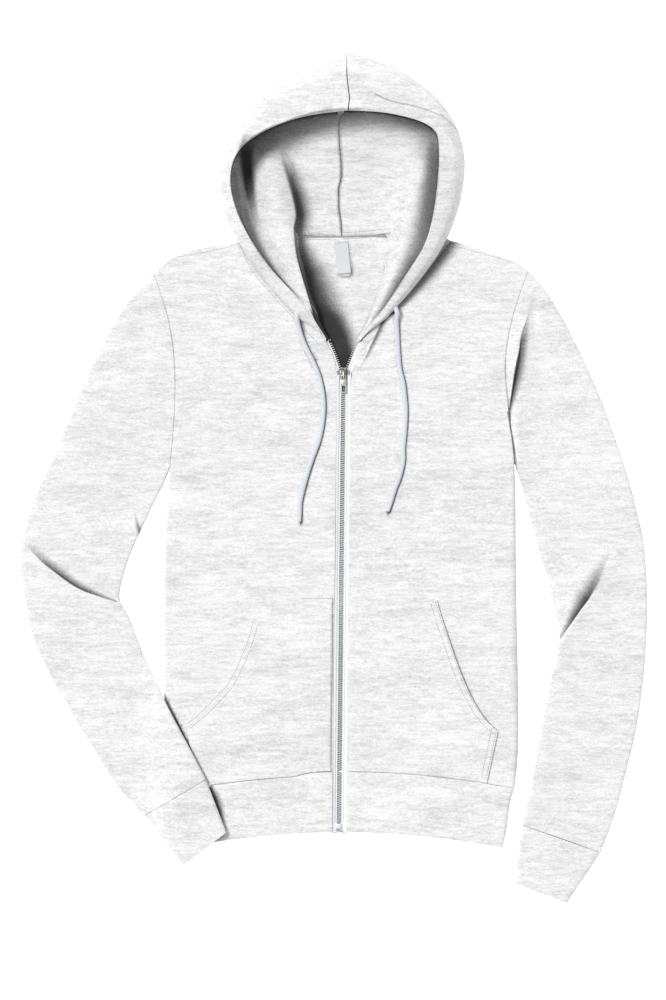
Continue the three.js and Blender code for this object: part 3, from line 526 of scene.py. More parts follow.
@dataclass(frozen=True)
class WovenFinish:
    """Fine woven or braided yarn of one colour: tape, cord, thread or label."""

    name: str
    colour: Point3
    shade: Point3
    scale: Point3 = (900.0, 900.0, 900.0)
    relief: float = 0.5
    rough: float = 0.85

    def build(self) -> bpy.types.Material:
        """Returns the material."""
        material, kit, shader, coords = start_material(self.name)
        weave = kit.noise(kit.stretched(coords, self.scale), 1.0, 2.0, 0.6)
        colour = kit.mix_colour(kit.remap(weave, 0.42, 0.75), self.colour, self.shade)
        kit.link(colour, shader.inputs["Base Color"])
        add_bump(kit, shader, weave, self.relief, 0.0004)
        shader.inputs["Roughness"].default_value = self.rough
        shader.inputs["Specular IOR Level"].default_value = 0.25
        return material


@dataclass(frozen=True)
class MetalFinish:
    """Plated metal with random tarnished spots, and painted shade in its recesses."""

    name: str
    colour: Point3
    tarnish: Point3
    metallic: float = 0.8
    rough: float = 0.3
    painted_shade: float = 0.9

    def build(self, effects: FibreEffects) -> bpy.types.Material:
        """Returns the material."""
        material, kit, shader, coords = start_material(self.name)
        spots = kit.remap(kit.noise(coords, 900.0, 3.0, 0.6), 0.5, 0.72)
        colour = kit.mix_colour(spots, self.colour, self.tarnish)
        # Painted shade: darkens the recesses towards black by the depth stored on the points.
        painted_shade = kit.node("ShaderNodeGroup", node_tree=effects.painted_shade)
        painted_shade.inputs["Amount"].default_value = self.painted_shade
        painted_shade.inputs["Shade Fuzz"].default_value = 0.1
        kit.link(coords, painted_shade.inputs["Vector"])
        colour = kit.mix_colour(painted_shade.outputs["Share"], colour, (0.01, 0.01, 0.01))
        kit.link(colour, shader.inputs["Base Color"])
        shader.inputs["Metallic"].default_value = self.metallic
        shader.inputs["Roughness"].default_value = self.rough
        return material


@dataclass
class Studio:
    """Pale floor, soft light from the upper left, and a camera straight above."""

    floor_side: float = 30.0
    floor_drop: float = 0.0004
    lens: float = 300.0
    frame_height: float = 1.18
    aim: Point2 = (-10.6, 391.8)
    cloth_height: float = 0.008
    sensor: float = 36.0
    sky: float = 0.52
    floor_glow: float = 0.66
    key: float = 2.16
    key_softness: float = 16.0
    key_from: Point3 = (0.50, -0.30, -1.0)

    def build(self) -> None:
        """Builds the floor, the lights and the camera."""
        self._floor()
        self._lights()
        self._camera()
        log.info("studio ready")

    def _floor(self) -> None:
        """Lays the floor just under the garment."""
        half = self.floor_side / 2
        corners = [(-half, -half), (half, -half), (half, half), (-half, half)]
        floor = mesh_from("floor", [(x, y, -self.floor_drop) for x, y in corners], [(0, 1, 2, 3)])
        material, kit, shader, coords = start_material("floor_paper")
        grain = kit.noise(coords, 60.0, 2.0, 0.5)
        kit.link(kit.mix_colour(grain, (0.93, 0.93, 0.93), (0.95, 0.95, 0.95)), shader.inputs["Base Color"])
        shader.inputs["Roughness"].default_value = 0.9
        shader.inputs["Specular IOR Level"].default_value = 0.1
        shader.inputs["Emission Color"].default_value = (1.0, 1.0, 1.0, 1.0)
        shader.inputs["Emission Strength"].default_value = self.floor_glow
        floor.data.materials.append(material)

    def _lights(self) -> None:
        """Sets a broad key light and a pale sky."""
        world = bpy.data.worlds.new("studio_sky")
        bpy.context.scene.world = world
        world.use_nodes = True
        sky = world.node_tree.nodes["Background"]
        sky.inputs["Color"].default_value = (1.0, 1.0, 1.0, 1.0)
        sky.inputs["Strength"].default_value = self.sky
        key = bpy.data.lights.new("key_light", "SUN")
        key.energy = self.key
        key.angle = math.radians(self.key_softness)
        lamp = bpy.data.objects.new("key_light", key)
        lamp.rotation_mode = "QUATERNION"
        lamp.rotation_quaternion = Vector(self.key_from).to_track_quat("-Z", "Y")
        bpy.context.scene.collection.objects.link(lamp)
        bpy.context.scene.view_settings.view_transform = "Standard"

    def _camera(self) -> None:
        """Hangs the camera over the middle of the picture."""
        data = bpy.data.cameras.new("camera")
        data.lens = self.lens
        data.sensor_width = self.sensor
        camera = bpy.data.objects.new("camera", data)
        middle = Place(*self.aim).metres()
        distance = self.frame_height * self.lens / self.sensor
        camera.location = (middle.x, middle.y, self.cloth_height + distance)
        bpy.context.scene.collection.objects.link(camera)
        bpy.context.scene.camera = camera


def sweep(path: list[Vector], radii: list[Point2], sides: int, first: list, faces: list) -> None:
    """Adds a closed tube along a path to lists of points and faces.

    Args:
        path: Points in millimetres.
        radii: Half width and half height at each point.
        sides: Number of sides.
        first: Points in metres, which the tube's points join.
        faces: Tuples of point numbers, which the tube's faces join.
    """
    base = len(first)
    for i, (centre, (wide, high)) in enumerate(zip(path, radii)):
        ahead = path[min(i + 1, len(path) - 1)] - path[max(i - 1, 0)]
        side = Vector((ahead.y, -ahead.x, 0))
        side = side.normalized() if side.length > 1e-6 else Vector((1, 0, 0))
        lift = side.cross(ahead).normalized()
        if lift.z < 0:
            lift.negate()
        for k in range(sides):
            angle = k * math.tau / sides
            spot = centre + side * (math.cos(angle) * wide) + lift * (math.sin(angle) * high)
            first.append(Place(*spot).metres())
    for i in range(len(path) - 1):
        for k in range(sides):
            n = (k + 1) % sides
            a, b = base + i * sides, base + (i + 1) * sides
            faces.append((a + k, a + n, b + n, b + k))
    faces.append(tuple(base + k for k in reversed(range(sides))))
    last = base + (len(path) - 1) * sides
    faces.append(tuple(last + k for k in range(sides)))


def dress(piece: bpy.types.Object, material: bpy.types.Material,
          body: str = GARMENT, replaces: tuple[str, ...] = ()) -> bpy.types.Object:
    """Gives a piece its material, its body and the solids that it stands for.

    Args:
        piece: The piece.
        material: Its material.
        body: The body that it rides on.
        replaces: CAD nodes that it stands for.

    Returns:
        The piece.
    """
    piece.data.materials.clear()
    piece.data.materials.append(material)
    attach(piece, body)
    if replaces:
        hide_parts(*replaces)
    log.info("%s: %d faces", piece.name, len(piece.data.polygons))
    return piece


def recalculate(piece: bpy.types.Object) -> None:
    """Turns a piece's faces so that they point out."""
    bm = bmesh.new()
    bm.from_mesh(piece.data)
    bmesh.ops.recalc_face_normals(bm, faces=bm.faces)
    bm.to_mesh(piece.data)
    bm.free()


def apply_modifiers(piece: bpy.types.Object) -> None:
    """Applies a piece's modifiers to its mesh."""
    graph = bpy.context.evaluated_depsgraph_get()
    mesh = bpy.data.meshes.new_from_object(piece.evaluated_get(graph))
    piece.modifiers.clear()
    piece.data = mesh


@dataclass
class DrawCord:
    """One free end of the hood's draw cord, from its buttonhole in the casing to its bare tip."""

    node: str
    route: tuple[Point3, ...]
    hidden: Point3
    width: float = 5.6
    height: float = 4.6
    sides: int = 16
    step: float = 1.4
    taper: float = 14.0

    def build(self, material: bpy.types.Material) -> bpy.types.Object:
        """Builds the cord as a braided tube that narrows at its tip.

        Args:
            material: The cord's material.

        Returns:
            The cord's object.
        """
        path = spline([Vector(p) for p in (self.hidden, *self.route)], self.step)
        lengths = [(b - a).length for a, b in zip(path, path[1:])]
        length = sum(lengths)
        verts, faces = [], []
        run = 0.0
        for i, centre in enumerate(path):
            ahead = path[min(i + 1, len(path) - 1)] - path[max(i - 1, 0)]
            side = Vector((ahead.y, -ahead.x, 0)).normalized()
            lift = side.cross(ahead).normalized()
            if lift.z < 0:
                lift.negate()
            left = min(1.0, (length - run) / self.taper)
            size = 0.5 + 0.5 * math.sqrt(max(0.0, left))
            for k in range(self.sides):
                angle = k * math.tau / self.sides
                braid = 1 + 0.04 * math.cos(4 * angle + run * 1.5) * math.cos(4 * angle - run * 1.5)
                across = side * (math.cos(angle) * self.width / 2 * size * braid)
                up = lift * (math.sin(angle) * self.height / 2 * size * braid)
                verts.append(Place(*(centre + across + up)).metres())
            run += lengths[i] if i < len(lengths) else 0.0
        for i in range(len(path) - 1):
            for k in range(self.sides):
                n = (k + 1) % self.sides
                a, b = i * self.sides, (i + 1) * self.sides
                faces.append((a + k, a + n, b + n, b + k))
        faces.append(tuple(reversed(range(self.sides))))
        faces.append(tuple((len(path) - 1) * self.sides + k for k in range(self.sides)))
        cord = mesh_from(f"{self.node}_braid", verts, faces)
        recalculate(cord)
        dress(cord, material, replaces=(self.node,))
        return cord


CORD_Z = 10.6
CORDS = (
    DrawCord("drawcord_right", (
        (-53.4, 607.4, 16), (-52, 598, 13.2), (-47, 582, 11.2), (-41, 568, CORD_Z), (-33, 552, CORD_Z),
        (-27, 536, CORD_Z), (-23, 517, CORD_Z), (-22, 499, CORD_Z), (-24, 479, CORD_Z),
        (-28, 461, CORD_Z), (-35, 442, CORD_Z), (-41, 424, CORD_Z), (-47, 402, CORD_Z),
        (-50, 386, CORD_Z), (-50, 366, CORD_Z)), (-53, 617, 14)),
    DrawCord("drawcord_left", (
        (65, 613, 17.2), (64, 603, 14), (65, 588, 11.4), (66, 568, CORD_Z), (68, 546, CORD_Z),
        (72, 529, CORD_Z), (74, 512, CORD_Z), (75, 496, CORD_Z), (74, 474, CORD_Z), (72, 453, CORD_Z),
        (72, 440, CORD_Z), (70, 428, CORD_Z), (66, 415, CORD_Z), (61, 402, CORD_Z),
        (54, 378, CORD_Z)), (61, 622, 16)),
)


@dataclass(frozen=True)
class Tongue:
    """The hood's lower end, drawn out to a flat point that lies on the front beside the zip."""

    end: Point2
    along: Point2
    reach: float = 26.0
    draw: float = 13.0
    narrow: float = 0.7
    rest: float = 8.5
    flat: float = 0.3

    def shape(self, place: np.ndarray) -> np.ndarray:
        """Moves points near the end.

        Args:
            place: Points in millimetres, one row each.

        Returns:
            The moved points.
        """
        along = np.array(self.along) / math.hypot(*self.along)
        across = np.array((-along[1], along[0]))
        away = place[:, :2] - np.array(self.end)
        run, off = away @ along, away @ across
        near = (run > -self.reach) & (place[:, 1] < self.end[1] + self.reach * 1.3)
        t = np.clip((run + self.reach) / (self.reach + 3), 0, 1) * near
        w = t * t * (3 - 2 * t)
        out = place.copy()
        out[:, :2] += along[None, :] * (self.draw * w ** 2)[:, None]
        out[:, :2] -= across[None, :] * (off * self.narrow * w)[:, None]
        out[:, 2] = place[:, 2] * (1 - w) + w * (self.rest + self.flat * (place[:, 2] - 5))
        return out


class ClothKind(Enum):
    """How a laid cloth is made up, which sets what its smoothing may do."""

    PANEL = "panel"
    TUBE = "tube"
    HOOD = "hood"


@dataclass
class ClothPiece:
    """A cut piece of cloth: a thin shell smoothed from its solid, with folds of its own."""

    node: str
    slot: str
    flat: Point2
    area: float
    kind: ClothKind = ClothKind.PANEL
    folds: tuple = ()
    rests_on: tuple[str, ...] = ()
    levels: int = 2
    sharp: float = 48.0
    swell: float = 0.5
    top_from: float = 3.4
    tongue: Tongue | None = None
    piece: bpy.types.Object | None = None

    def build(self, material: bpy.types.Material, shades: tuple[Shade, ...]) -> bpy.types.Object:
        """Builds the piece.

        Args:
            material: The cloth's material.
            shades: The painted shade strokes of the whole garment.

        Returns:
            The piece's object.
        """
        self.piece = new_object(f"{self.node}_cloth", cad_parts[self.node].data.copy())
        own = tuple(shade for shade in shades if self.node in shade.pieces)
        self._quads()
        smooth = self.piece.modifiers.new("smooth", "SUBSURF")
        smooth.levels = smooth.render_levels = self.levels
        bevel = self.piece.modifiers.new("edge", "BEVEL")
        bevel.width = 0.6 * MM
        bevel.segments = 2
        bevel.limit_method = "ANGLE"
        bevel.angle_limit = math.radians(self.sharp)
        apply_modifiers(self.piece)
        self._refine(own)
        shade = self._shades(own)
        self._shape()
        # Stores the painted shade on the points; the material darkens the colour by it.
        layer = self.piece.data.attributes.new(PaintedHollowShade.NAME, "FLOAT", "POINT")
        layer.data.foreach_set("value", shade.astype(np.float32))
        self.piece.data.polygons.foreach_set("use_smooth", [True] * len(self.piece.data.polygons))
        dress(self.piece, material, replaces=(self.node,))
        return self.piece

    def declare(self) -> None:
        """Does nothing; the cut size is kept in flat and area but not stated."""

    def _quads(self) -> None:
        """Welds the solid's mesh, joins its triangles in pairs and marks its rims."""
        bm = bmesh.new()
        bm.from_mesh(self.piece.data)
        bmesh.ops.remove_doubles(bm, verts=bm.verts, dist=2e-6)
        bmesh.ops.join_triangles(bm, faces=bm.faces, angle_face_threshold=math.radians(50),
                                 angle_shape_threshold=math.radians(80))
        crease = bm.edges.layers.float.new("crease_edge")
        limit = math.radians(self.sharp)
        for edge in bm.edges:
            if len(edge.link_faces) == 2 and edge.calc_face_angle(0) > limit:
                edge[crease] = 1.0
        bm.to_mesh(self.piece.data)
        bm.free()

    def _refine(self, shades: tuple[Shade, ...]) -> None:
        """Splits the long edges of the top, finely beside folds and shades."""
        folds = [fold for fold in self.folds if isinstance(fold, Fold)]
        rounds = ((7.0, 0, 0), (4.5, 0, 0), (2.4, 9.0, 9.0), (1.6, 4.0, 4.0), (1.0, 2.5, 0))
        for limit, fold_reach, shade_reach in rounds:
            place = places_of(self.piece)
            near = place[:, 2] > self.top_from
            if fold_reach:
                close = np.zeros(len(place), bool)
                for fold in folds:
                    close |= np.abs(beside(fold.line, place[:, :2], fold_reach + 1)[0]) < fold_reach
                for shade in shades if shade_reach else ():
                    signed = beside(shade.line, place[:, :2], shade_reach + 1)[0]
                    close |= (signed < max(shade.left) + 2) & (-signed < max(shade.right) + 2) & (
                        np.abs(signed) < shade_reach)
                near &= close
            split_edges(self.piece, near, limit)

    def _shades(self, shades: tuple[Shade, ...]) -> np.ndarray:
        """Returns how dark the painted shades make each point."""
        place = places_of(self.piece)
        light = np.ones(len(place))
        for shade in shades:
            light *= 1 - shade.depth(place)
        return (1 - light) * np.clip(rises_of(self.piece) * 8 + 0.5, 0, 1)

    def _shape(self) -> None:
        """Swells the cloth softly, lays its folds in and draws out its ends."""
        place = places_of(self.piece)
        x, y, z = place.T.copy()
        upper = np.clip((z - 3.2) / 2.0, 0, 1)
        lower = 1 - np.clip((z - 2.2) / 2.0, 0, 1)
        soft = (np.sin(x / 31 + 1.3) * np.sin(y / 47 + 0.4) + 0.6 * np.sin(x / 17 - y / 53 + 2.1)
                + 0.5 * np.sin(x / 63 + y / 23))
        rise = {Layer.TOP: self.swell * soft, Layer.UNDERSIDE: np.zeros(len(x))}
        shift = np.zeros((len(x), 2))
        for fold in self.folds:
            height, aside = fold.move(place[:, :2])
            rise[fold.layer] = rise[fold.layer] + height
            shift += aside
        place[:, 2] += upper * rise[Layer.TOP] + lower * np.maximum(rise[Layer.UNDERSIDE], 0)
        place[:, :2] += shift * upper[:, None]
        if self.kind is ClothKind.HOOD:
            place = self._centre_seam(place)
        if self.tongue:
            place = self.tongue.shape(place)
        co = (place + np.array(ZIP_AT)) * MM
        mesh = self.piece.data
        mesh.vertices.foreach_set("co", co.ravel())
        mesh.update()

    @staticmethod
    def _centre_seam(place: np.ndarray) -> np.ndarray:
        """Bends the hood's inner and outer centre seams from side to side, as they lie.

        Args:
            place: Points in millimetres, one row each.

        Returns:
            The moved points.
        """
        x, y, z = place.T
        sway = np.interp(y, [705, 721, 736, 759, 773, 788, 815, 838, 850],
                         [0, -1.2, -3.6, -3.6, 0, 0, -2.6, -4, 0])
        inner = np.exp(-((x / 26) ** 2)) * np.clip((26 - z) / 8, 0, 1) * (y > 704)
        crown = np.interp(y, [846, 853, 863, 873, 888], [0, 0.6, 2.4, 1.4, 0])
        outer = np.exp(-(((x - 7) / 16) ** 2)) * np.clip((z - 26) / 8, 0, 1)
        place[:, 0] += sway * inner + crown * outer
        return place


def places_of(piece: bpy.types.Object) -> np.ndarray:
    """Returns a piece's points in millimetres from the zip at the hem, one row each."""
    co = np.empty(len(piece.data.vertices) * 3)
    piece.data.vertices.foreach_get("co", co)
    return co.reshape(-1, 3) / MM - np.array(ZIP_AT)


def rises_of(piece: bpy.types.Object) -> np.ndarray:
    """Returns how far each point's normal looks up, from -1 to 1."""
    normals = np.empty(len(piece.data.vertices) * 3)
    piece.data.vertex_normals.foreach_get("vector", normals)
    return normals.reshape(-1, 3)[:, 2]


def split_edges(piece: bpy.types.Object, near: np.ndarray, limit: float) -> None:
    """Splits the edges that are longer than a limit.

    Args:
        piece: The piece.
        near: Which of its points may lie at the ends of a split edge.
        limit: The longest edge that stays whole, in millimetres.
    """
    bm = bmesh.new()
    bm.from_mesh(piece.data)
    bm.verts.ensure_lookup_table()
    edges = [e for e in bm.edges
             if near[e.verts[0].index] and near[e.verts[1].index] and e.calc_length() > limit * MM]
    bmesh.ops.subdivide_edges(bm, edges=edges, cuts=1, use_grid_fill=True)
    bmesh.ops.triangulate(bm, faces=[f for f in bm.faces if len(f.verts) > 4])
    bm.to_mesh(piece.data)
    bm.free()


@dataclass
class PaintedHollowShade:
    """How deep points lie below the cloth around them, seen as a field of heights from above, painted into
    the colour as shade.
    """

    NAME = "painted_shade_depth"
    low: Point2
    high: Point2
    step: float = 2.0
    reach: tuple[float, ...] = (2.5, 5, 8, 12, 18, 26, 38, 54)
    turns: int = 16
    from_share: float = 0.2
    to_share: float = 1.05

    def paint(self, pieces: list[bpy.types.Object], tree: BVHTree) -> None:
        """Joins the depth, as painted shade, to the painted shade strokes stored on every piece.

        Args:
            pieces: The pieces.
            tree: The search tree of all the cloth.
        """
        field_of = self._heights(tree)
        for piece in pieces:
            place = places_of(piece)
            hidden = np.zeros(len(place))
            for k in range(self.turns):
                angle = k * math.tau / self.turns
                best = np.zeros(len(place))
                for reach in self.reach:
                    spot = place[:, :2] + np.array((math.cos(angle), math.sin(angle))) * reach
                    above = np.maximum(self._sample(field_of, spot) - place[:, 2] - 0.4, 0)
                    best = np.maximum(best, above ** 2 / (above ** 2 + reach ** 2))
                hidden += best / self.turns
            t = np.clip((hidden - self.from_share) / (self.to_share - self.from_share), 0, 1)
            depth = t * t * (3 - 2 * t) * np.clip(rises_of(piece) * 3 + 0.4, 0, 1)
            layer = piece.data.attributes.get(self.NAME)
            if layer is None:
                layer = piece.data.attributes.new(self.NAME, "FLOAT", "POINT")
            # Joins the occlusion to the painted shade strokes; the materials darken the colour by both.
            shade = np.zeros(len(place), np.float32)
            layer.data.foreach_get("value", shade)
            layer.data.foreach_set("value", (1 - (1 - shade) * (1 - depth)).astype(np.float32))

    def _heights(self, tree: BVHTree) -> np.ndarray:
        """Returns the grid of heights in millimetres."""
        columns = int((self.high[0] - self.low[0]) / self.step) + 1
        rows = int((self.high[1] - self.low[1]) / self.step) + 1
        grid = np.zeros((rows, columns))
        for i in range(rows):
            for j in range(columns):
                start = Place(self.low[0] + j * self.step, self.low[1] + i * self.step, 200).metres()
                hit = tree.ray_cast(start, Vector((0, 0, -1)))[0]
                if hit is not None:
                    grid[i, j] = hit.z / MM
        return grid

    def _sample(self, grid: np.ndarray, spot: np.ndarray) -> np.ndarray:
        """Returns the grid's heights at places, mixed between its corners."""
        at = np.clip((spot - np.array(self.low)) / self.step, 0, np.array(grid.shape)[::-1] - 1.001)
        cell = at.astype(int)
        u, v = (at - cell).T
        j, i = cell.T
        return (grid[i, j] * (1 - u) * (1 - v) + grid[i, j + 1] * u * (1 - v)
                + grid[i + 1, j] * (1 - u) * v + grid[i + 1, j + 1] * u * v)


def tree_of(pieces: list[bpy.types.Object]) -> BVHTree:
    """Returns one search tree of all the pieces' faces."""
    verts, faces = [], []
    for piece in pieces:
        base = len(verts)
        verts.extend(v.co.copy() for v in piece.data.vertices)
        faces.extend(tuple(base + i for i in p.vertices) for p in piece.data.polygons)
    return BVHTree.FromPolygons(verts, faces)


@dataclass
class Surface:
    """The top of the laid cloth, on which seams and stitches are placed."""

    tree: BVHTree
    above: float = 0.2

    def height(self, x: float, y: float) -> float | None:
        """Returns the cloth's height at a place in millimetres, or nothing off the cloth."""
        start = Place(x, y).metres()
        start.z = self.above
        hit = self.tree.ray_cast(start, Vector((0, 0, -1)))[0]
        return None if hit is None else hit.z / MM


@dataclass(frozen=True)
class SeamLine:
    """A sewn seam between two pieces, which closes the slit with turned in cloth that is darkened with
    painted shade.
    """

    line: tuple[Point2, ...]
    radius: float = 1.5
    beside: float = 2.6
    depth: float = 0.4
    # How much painted shade darkens the seam's cloth.
    dark: float = 0.3

    def add(self, surface: Surface, verts: list, faces: list) -> None:
        """Adds the seam to lists of points and faces."""
        path = spline([Vector((x, y, 0)) for x, y in self.line], 3.0)
        rows, radii = [], []
        for i, point in enumerate(path):
            ahead = path[min(i + 1, len(path) - 1)] - path[max(i - 1, 0)]
            side = Vector((ahead.y, -ahead.x, 0)).normalized() * self.beside
            tops = [surface.height(*(point + side * s).xy) for s in (-1, 1)]
            tops = [t for t in tops if t is not None and t > 1.0]
            if tops:
                top = min(tops) - self.depth
                high = min(self.radius, (top - 0.1) / 2)
                rows.append(Vector((point.x, point.y, top - high)))
                radii.append((self.radius * 1.6, high))
        if len(rows) > 2:
            sweep(rows, radii, 8, verts, faces)


@dataclass(frozen=True)
class StitchRow:
    """A row of short stitches that lie on the cloth."""

    line: tuple[Point2, ...]
    pitch: float = 2.7
    length: float = 2.0
    radius: float = 0.42
    shift: float = 0.0
    sink: float = 0.1
    dark: float = 0.0

    def add(self, surface: Surface, verts: list, faces: list) -> None:
        """Adds the stitches to lists of points and faces."""
        path = spline([Vector((x, y, 0)) for x, y in self.line], self.pitch)
        for i in range(len(path) - 1):
            run = (path[i + 1] - path[i]).normalized()
            side = Vector((run.y, -run.x, 0)) * self.shift
            middle = (path[i] + path[i + 1]) / 2 + side
            ends = [middle - run * self.length / 2, middle + run * self.length / 2]
            tops = [surface.height(*end.xy) for end in (ends[0], middle, ends[1])]
            if None in tops or max(tops) - min(tops) > 2.5:
                continue
            spots = [Vector((p.x, p.y, top - self.sink + rise))
                     for p, top, rise in zip((ends[0], middle, ends[1]), tops, (-0.15, 0.25, -0.15))]
            thin, thick = (self.radius * 0.6,) * 2, (self.radius,) * 2
            sweep(spots, [thin, thick, thin], 6, verts, faces)


@dataclass
class Sewing:
    """All the seams and stitches of the garment."""

    seams: dict[str, tuple[SeamLine, ...]]
    rows: dict[str, tuple[StitchRow, ...]]

    def build(self, surface: Surface, cloth: bpy.types.Material, thread: bpy.types.Material) -> None:
        """Builds one piece for each named group of seams and of stitches.

        Args:
            surface: The cloth's top.
            cloth: The material of the seams.
            thread: The material of the stitches.
        """
        for name, lines in self.seams.items():
            self._group(name, lines, surface, cloth)
        for name, lines in self.rows.items():
            self._group(name, lines, surface, thread)

    @staticmethod
    def _group(name: str, lines: tuple, surface: Surface, material: bpy.types.Material) -> None:
        """Builds one piece from its lines."""
        verts, faces, depths = [], [], []
        for line in lines:
            line.add(surface, verts, faces)
            # Stores each line's painted shade on its points.
            depths += [line.dark] * (len(verts) - len(depths))
        piece = mesh_from(name, verts, faces)
        piece.data.attributes.new(PaintedHollowShade.NAME, "FLOAT", "POINT").data.foreach_set("value", depths)
        recalculate(piece)
        dress(piece, material)


ZIP_SLANT_LOW, ZIP_SLANT_HIGH, ZIP_SLANT_TOP = -3.6, 1.8, 538.0
ZIP_FADE_FROM, ZIP_FADE_TO = 570.0, 640.0


def zip_shift(y: float) -> float:
    """Returns how far the slanting zip lies from the plumb line at a height above the hem."""
    slant = ZIP_SLANT_LOW + (ZIP_SLANT_HIGH - ZIP_SLANT_LOW) * y / ZIP_SLANT_TOP
    t = min(1.0, max(0.0, (y - ZIP_FADE_FROM) / (ZIP_FADE_TO - ZIP_FADE_FROM)))
    return slant * (1 - t * t * (3 - 2 * t))


@dataclass
class ZipFastener:
    """Two rows of metal teeth on woven tape, with a slider, its pull and both stops."""

    pitch: float = 2.6
    low: float = 11.6
    z: float = 5.1
    spread: tuple[Point2, ...] = (
        (1.3, 150), (1.3, 290), (1.3, 430), (1.3, 538), (3.1, 544), (5.8, 553), (11.5, 568), (17, 580))
    tooth_length: float = 3.2
    tooth_width: float = 1.2
    tooth_height: float = 2.5
    slider_y: float = 539.0
    pull_z: float = 8.7
    parts: list = field(default_factory=list)

    def build(self, teeth: bpy.types.Material, metal: bpy.types.Material, dark: bpy.types.Material,
              tape: bpy.types.Material, thread: bpy.types.Material) -> None:
        """Builds every piece of the zip.

        Args:
            teeth: The teeth's metal.
            metal: The pull's metal.
            dark: The slider plates' metal, a darker copy of the nickel that stands for painted shade.
            tape: The woven tape.
            thread: The sewing thread.
        """
        for name, side in (("right", -1), ("left", 1)):
            line = self._line(side)
            self._teeth(name, side, line, teeth)
            self._tape(name, side, line, tape)
            self._tape_stitches(name, side, line, thread)
        self._slider(metal, dark)
        self._pull(metal)
        self._stops(teeth)
        tree = tree_of(self.parts)
        # Painted shade in the gaps between the teeth and in the recesses of the slider, pull and stops.
        PaintedHollowShade((-24, 0), (24, 590), 0.5, (0.7, 1.4, 2.6, 4.0), 8, 0.06, 0.42).paint(self.parts, tree)

    def _line(self, side: int) -> list[Vector]:
        """Returns the middle line of one row of teeth."""
        rows = [(self.spread[0][0], self.low), *self.spread]
        return [Vector((side * x + zip_shift(y), y, self.z)) for x, y in rows]

    def _teeth(self, name: str, side: int, line: list[Vector], material: bpy.types.Material) -> None:
        """Builds one row of teeth."""
        path = spline(line, self.pitch / 2)[(0 if side < 0 else 1)::2]
        verts, faces = [], []
        for i, centre in enumerate(path[:-1]):
            run = (path[i + 1] - centre).normalized()
            away = Vector((run.y, -run.x, 0)) * side
            base = len(verts)
            for up, wide, reach in ((-0.5, 1.0, 0.0), (0.32, 1.0, 0.0), (0.5, 0.62, 0.35)):
                for along, across in ((-1, -1), (1, -1), (1, 1), (-1, 1)):
                    head = 0.72 if across < 0 else 1.0
                    spot = (centre + run * (along * self.tooth_width / 2 * wide * head)
                            + away * (across * (self.tooth_length / 2 - reach))
                            + Vector((0, 0, up * self.tooth_height)))
                    verts.append(Place(*spot).metres())
            faces.append(tuple(base + k for k in (3, 2, 1, 0)))
            faces.append(tuple(base + 8 + k for k in range(4)))
            for ring in (0, 4):
                for k in range(4):
                    n = (k + 1) % 4
                    faces.append(tuple(base + ring + v for v in (k, n, n + 4, k + 4)))
        piece = mesh_from(f"zip_teeth_{name}", verts, faces, smooth=False)
        recalculate(piece)
        dress(piece, material, replaces=(f"zip_chain_{name}",))
        self.parts.append(piece)

    def _tape(self, name: str, side: int, line: list[Vector], material: bpy.types.Material) -> None:
        """Builds the woven tape with the corded edge that the teeth are clamped on."""
        profile = ((2.5, 4.5), (2.6, 5.5), (3.1, 5.9), (3.6, 5.6), (4.0, 5.6), (4.8, 6.0), (5.8, 6.5),
                   (7.0, 6.9), (8.2, 7.0), (8.9, 6.9), (9.0, 6.3), (9.0, 4.6))
        foot = Vector((line[0].x, 2.4, self.z))
        path = spline([foot, *line], 5.0)
        verts, faces = [], []
        for i, centre in enumerate(path):
            run = (path[min(i + 1, len(path) - 1)] - path[max(i - 1, 0)]).normalized()
            away = Vector((run.y, -run.x, 0)) * side
            narrow = 1.0 if centre.y < 545 else max(0.62, 1.0 - (centre.y - 545) / 60)
            for across, z in profile:
                wide = across if across < 3.2 else 3.2 + (across - 3.2) * narrow
                spot = centre + away * (wide - 1.3)
                verts.append(Place(spot.x, spot.y, z).metres())
        count = len(profile)
        for i in range(len(path) - 1):
            for k in range(count):
                n = (k + 1) % count
                faces.append((i * count + k, i * count + n, (i + 1) * count + n, (i + 1) * count + k))
        faces.append(tuple(range(count)))
        faces.append(tuple((len(path) - 1) * count + k for k in reversed(range(count))))
        piece = mesh_from(f"zip_tape_{name}_twill", verts, faces)
        recalculate(piece)
        dress(piece, material, replaces=(f"zip_tape_{name}",))
        self.parts.append(piece)

    def _tape_stitches(self, name: str, side: int, line: list[Vector],
         material: bpy.types.Material) -> None:
        """Builds the line of chain stitches along the tape."""
        path = [p + Vector((side * 3.6, 0, 1.25)) for p in spline(line, 2.6)]
        verts, faces = [], []
        for a, b in zip(path, path[1:]):
            gap = (b - a) * 0.14
            spots = [a + gap, (a + b) / 2 + Vector((0, 0, 0.2)), b - gap]
            sweep(spots, [(0.25, 0.2), (0.45, 0.3), (0.25, 0.2)], 6, verts, faces)
        piece = mesh_from(f"zip_tape_stitches_{name}", verts, faces)
        recalculate(piece)
        dress(piece, material)

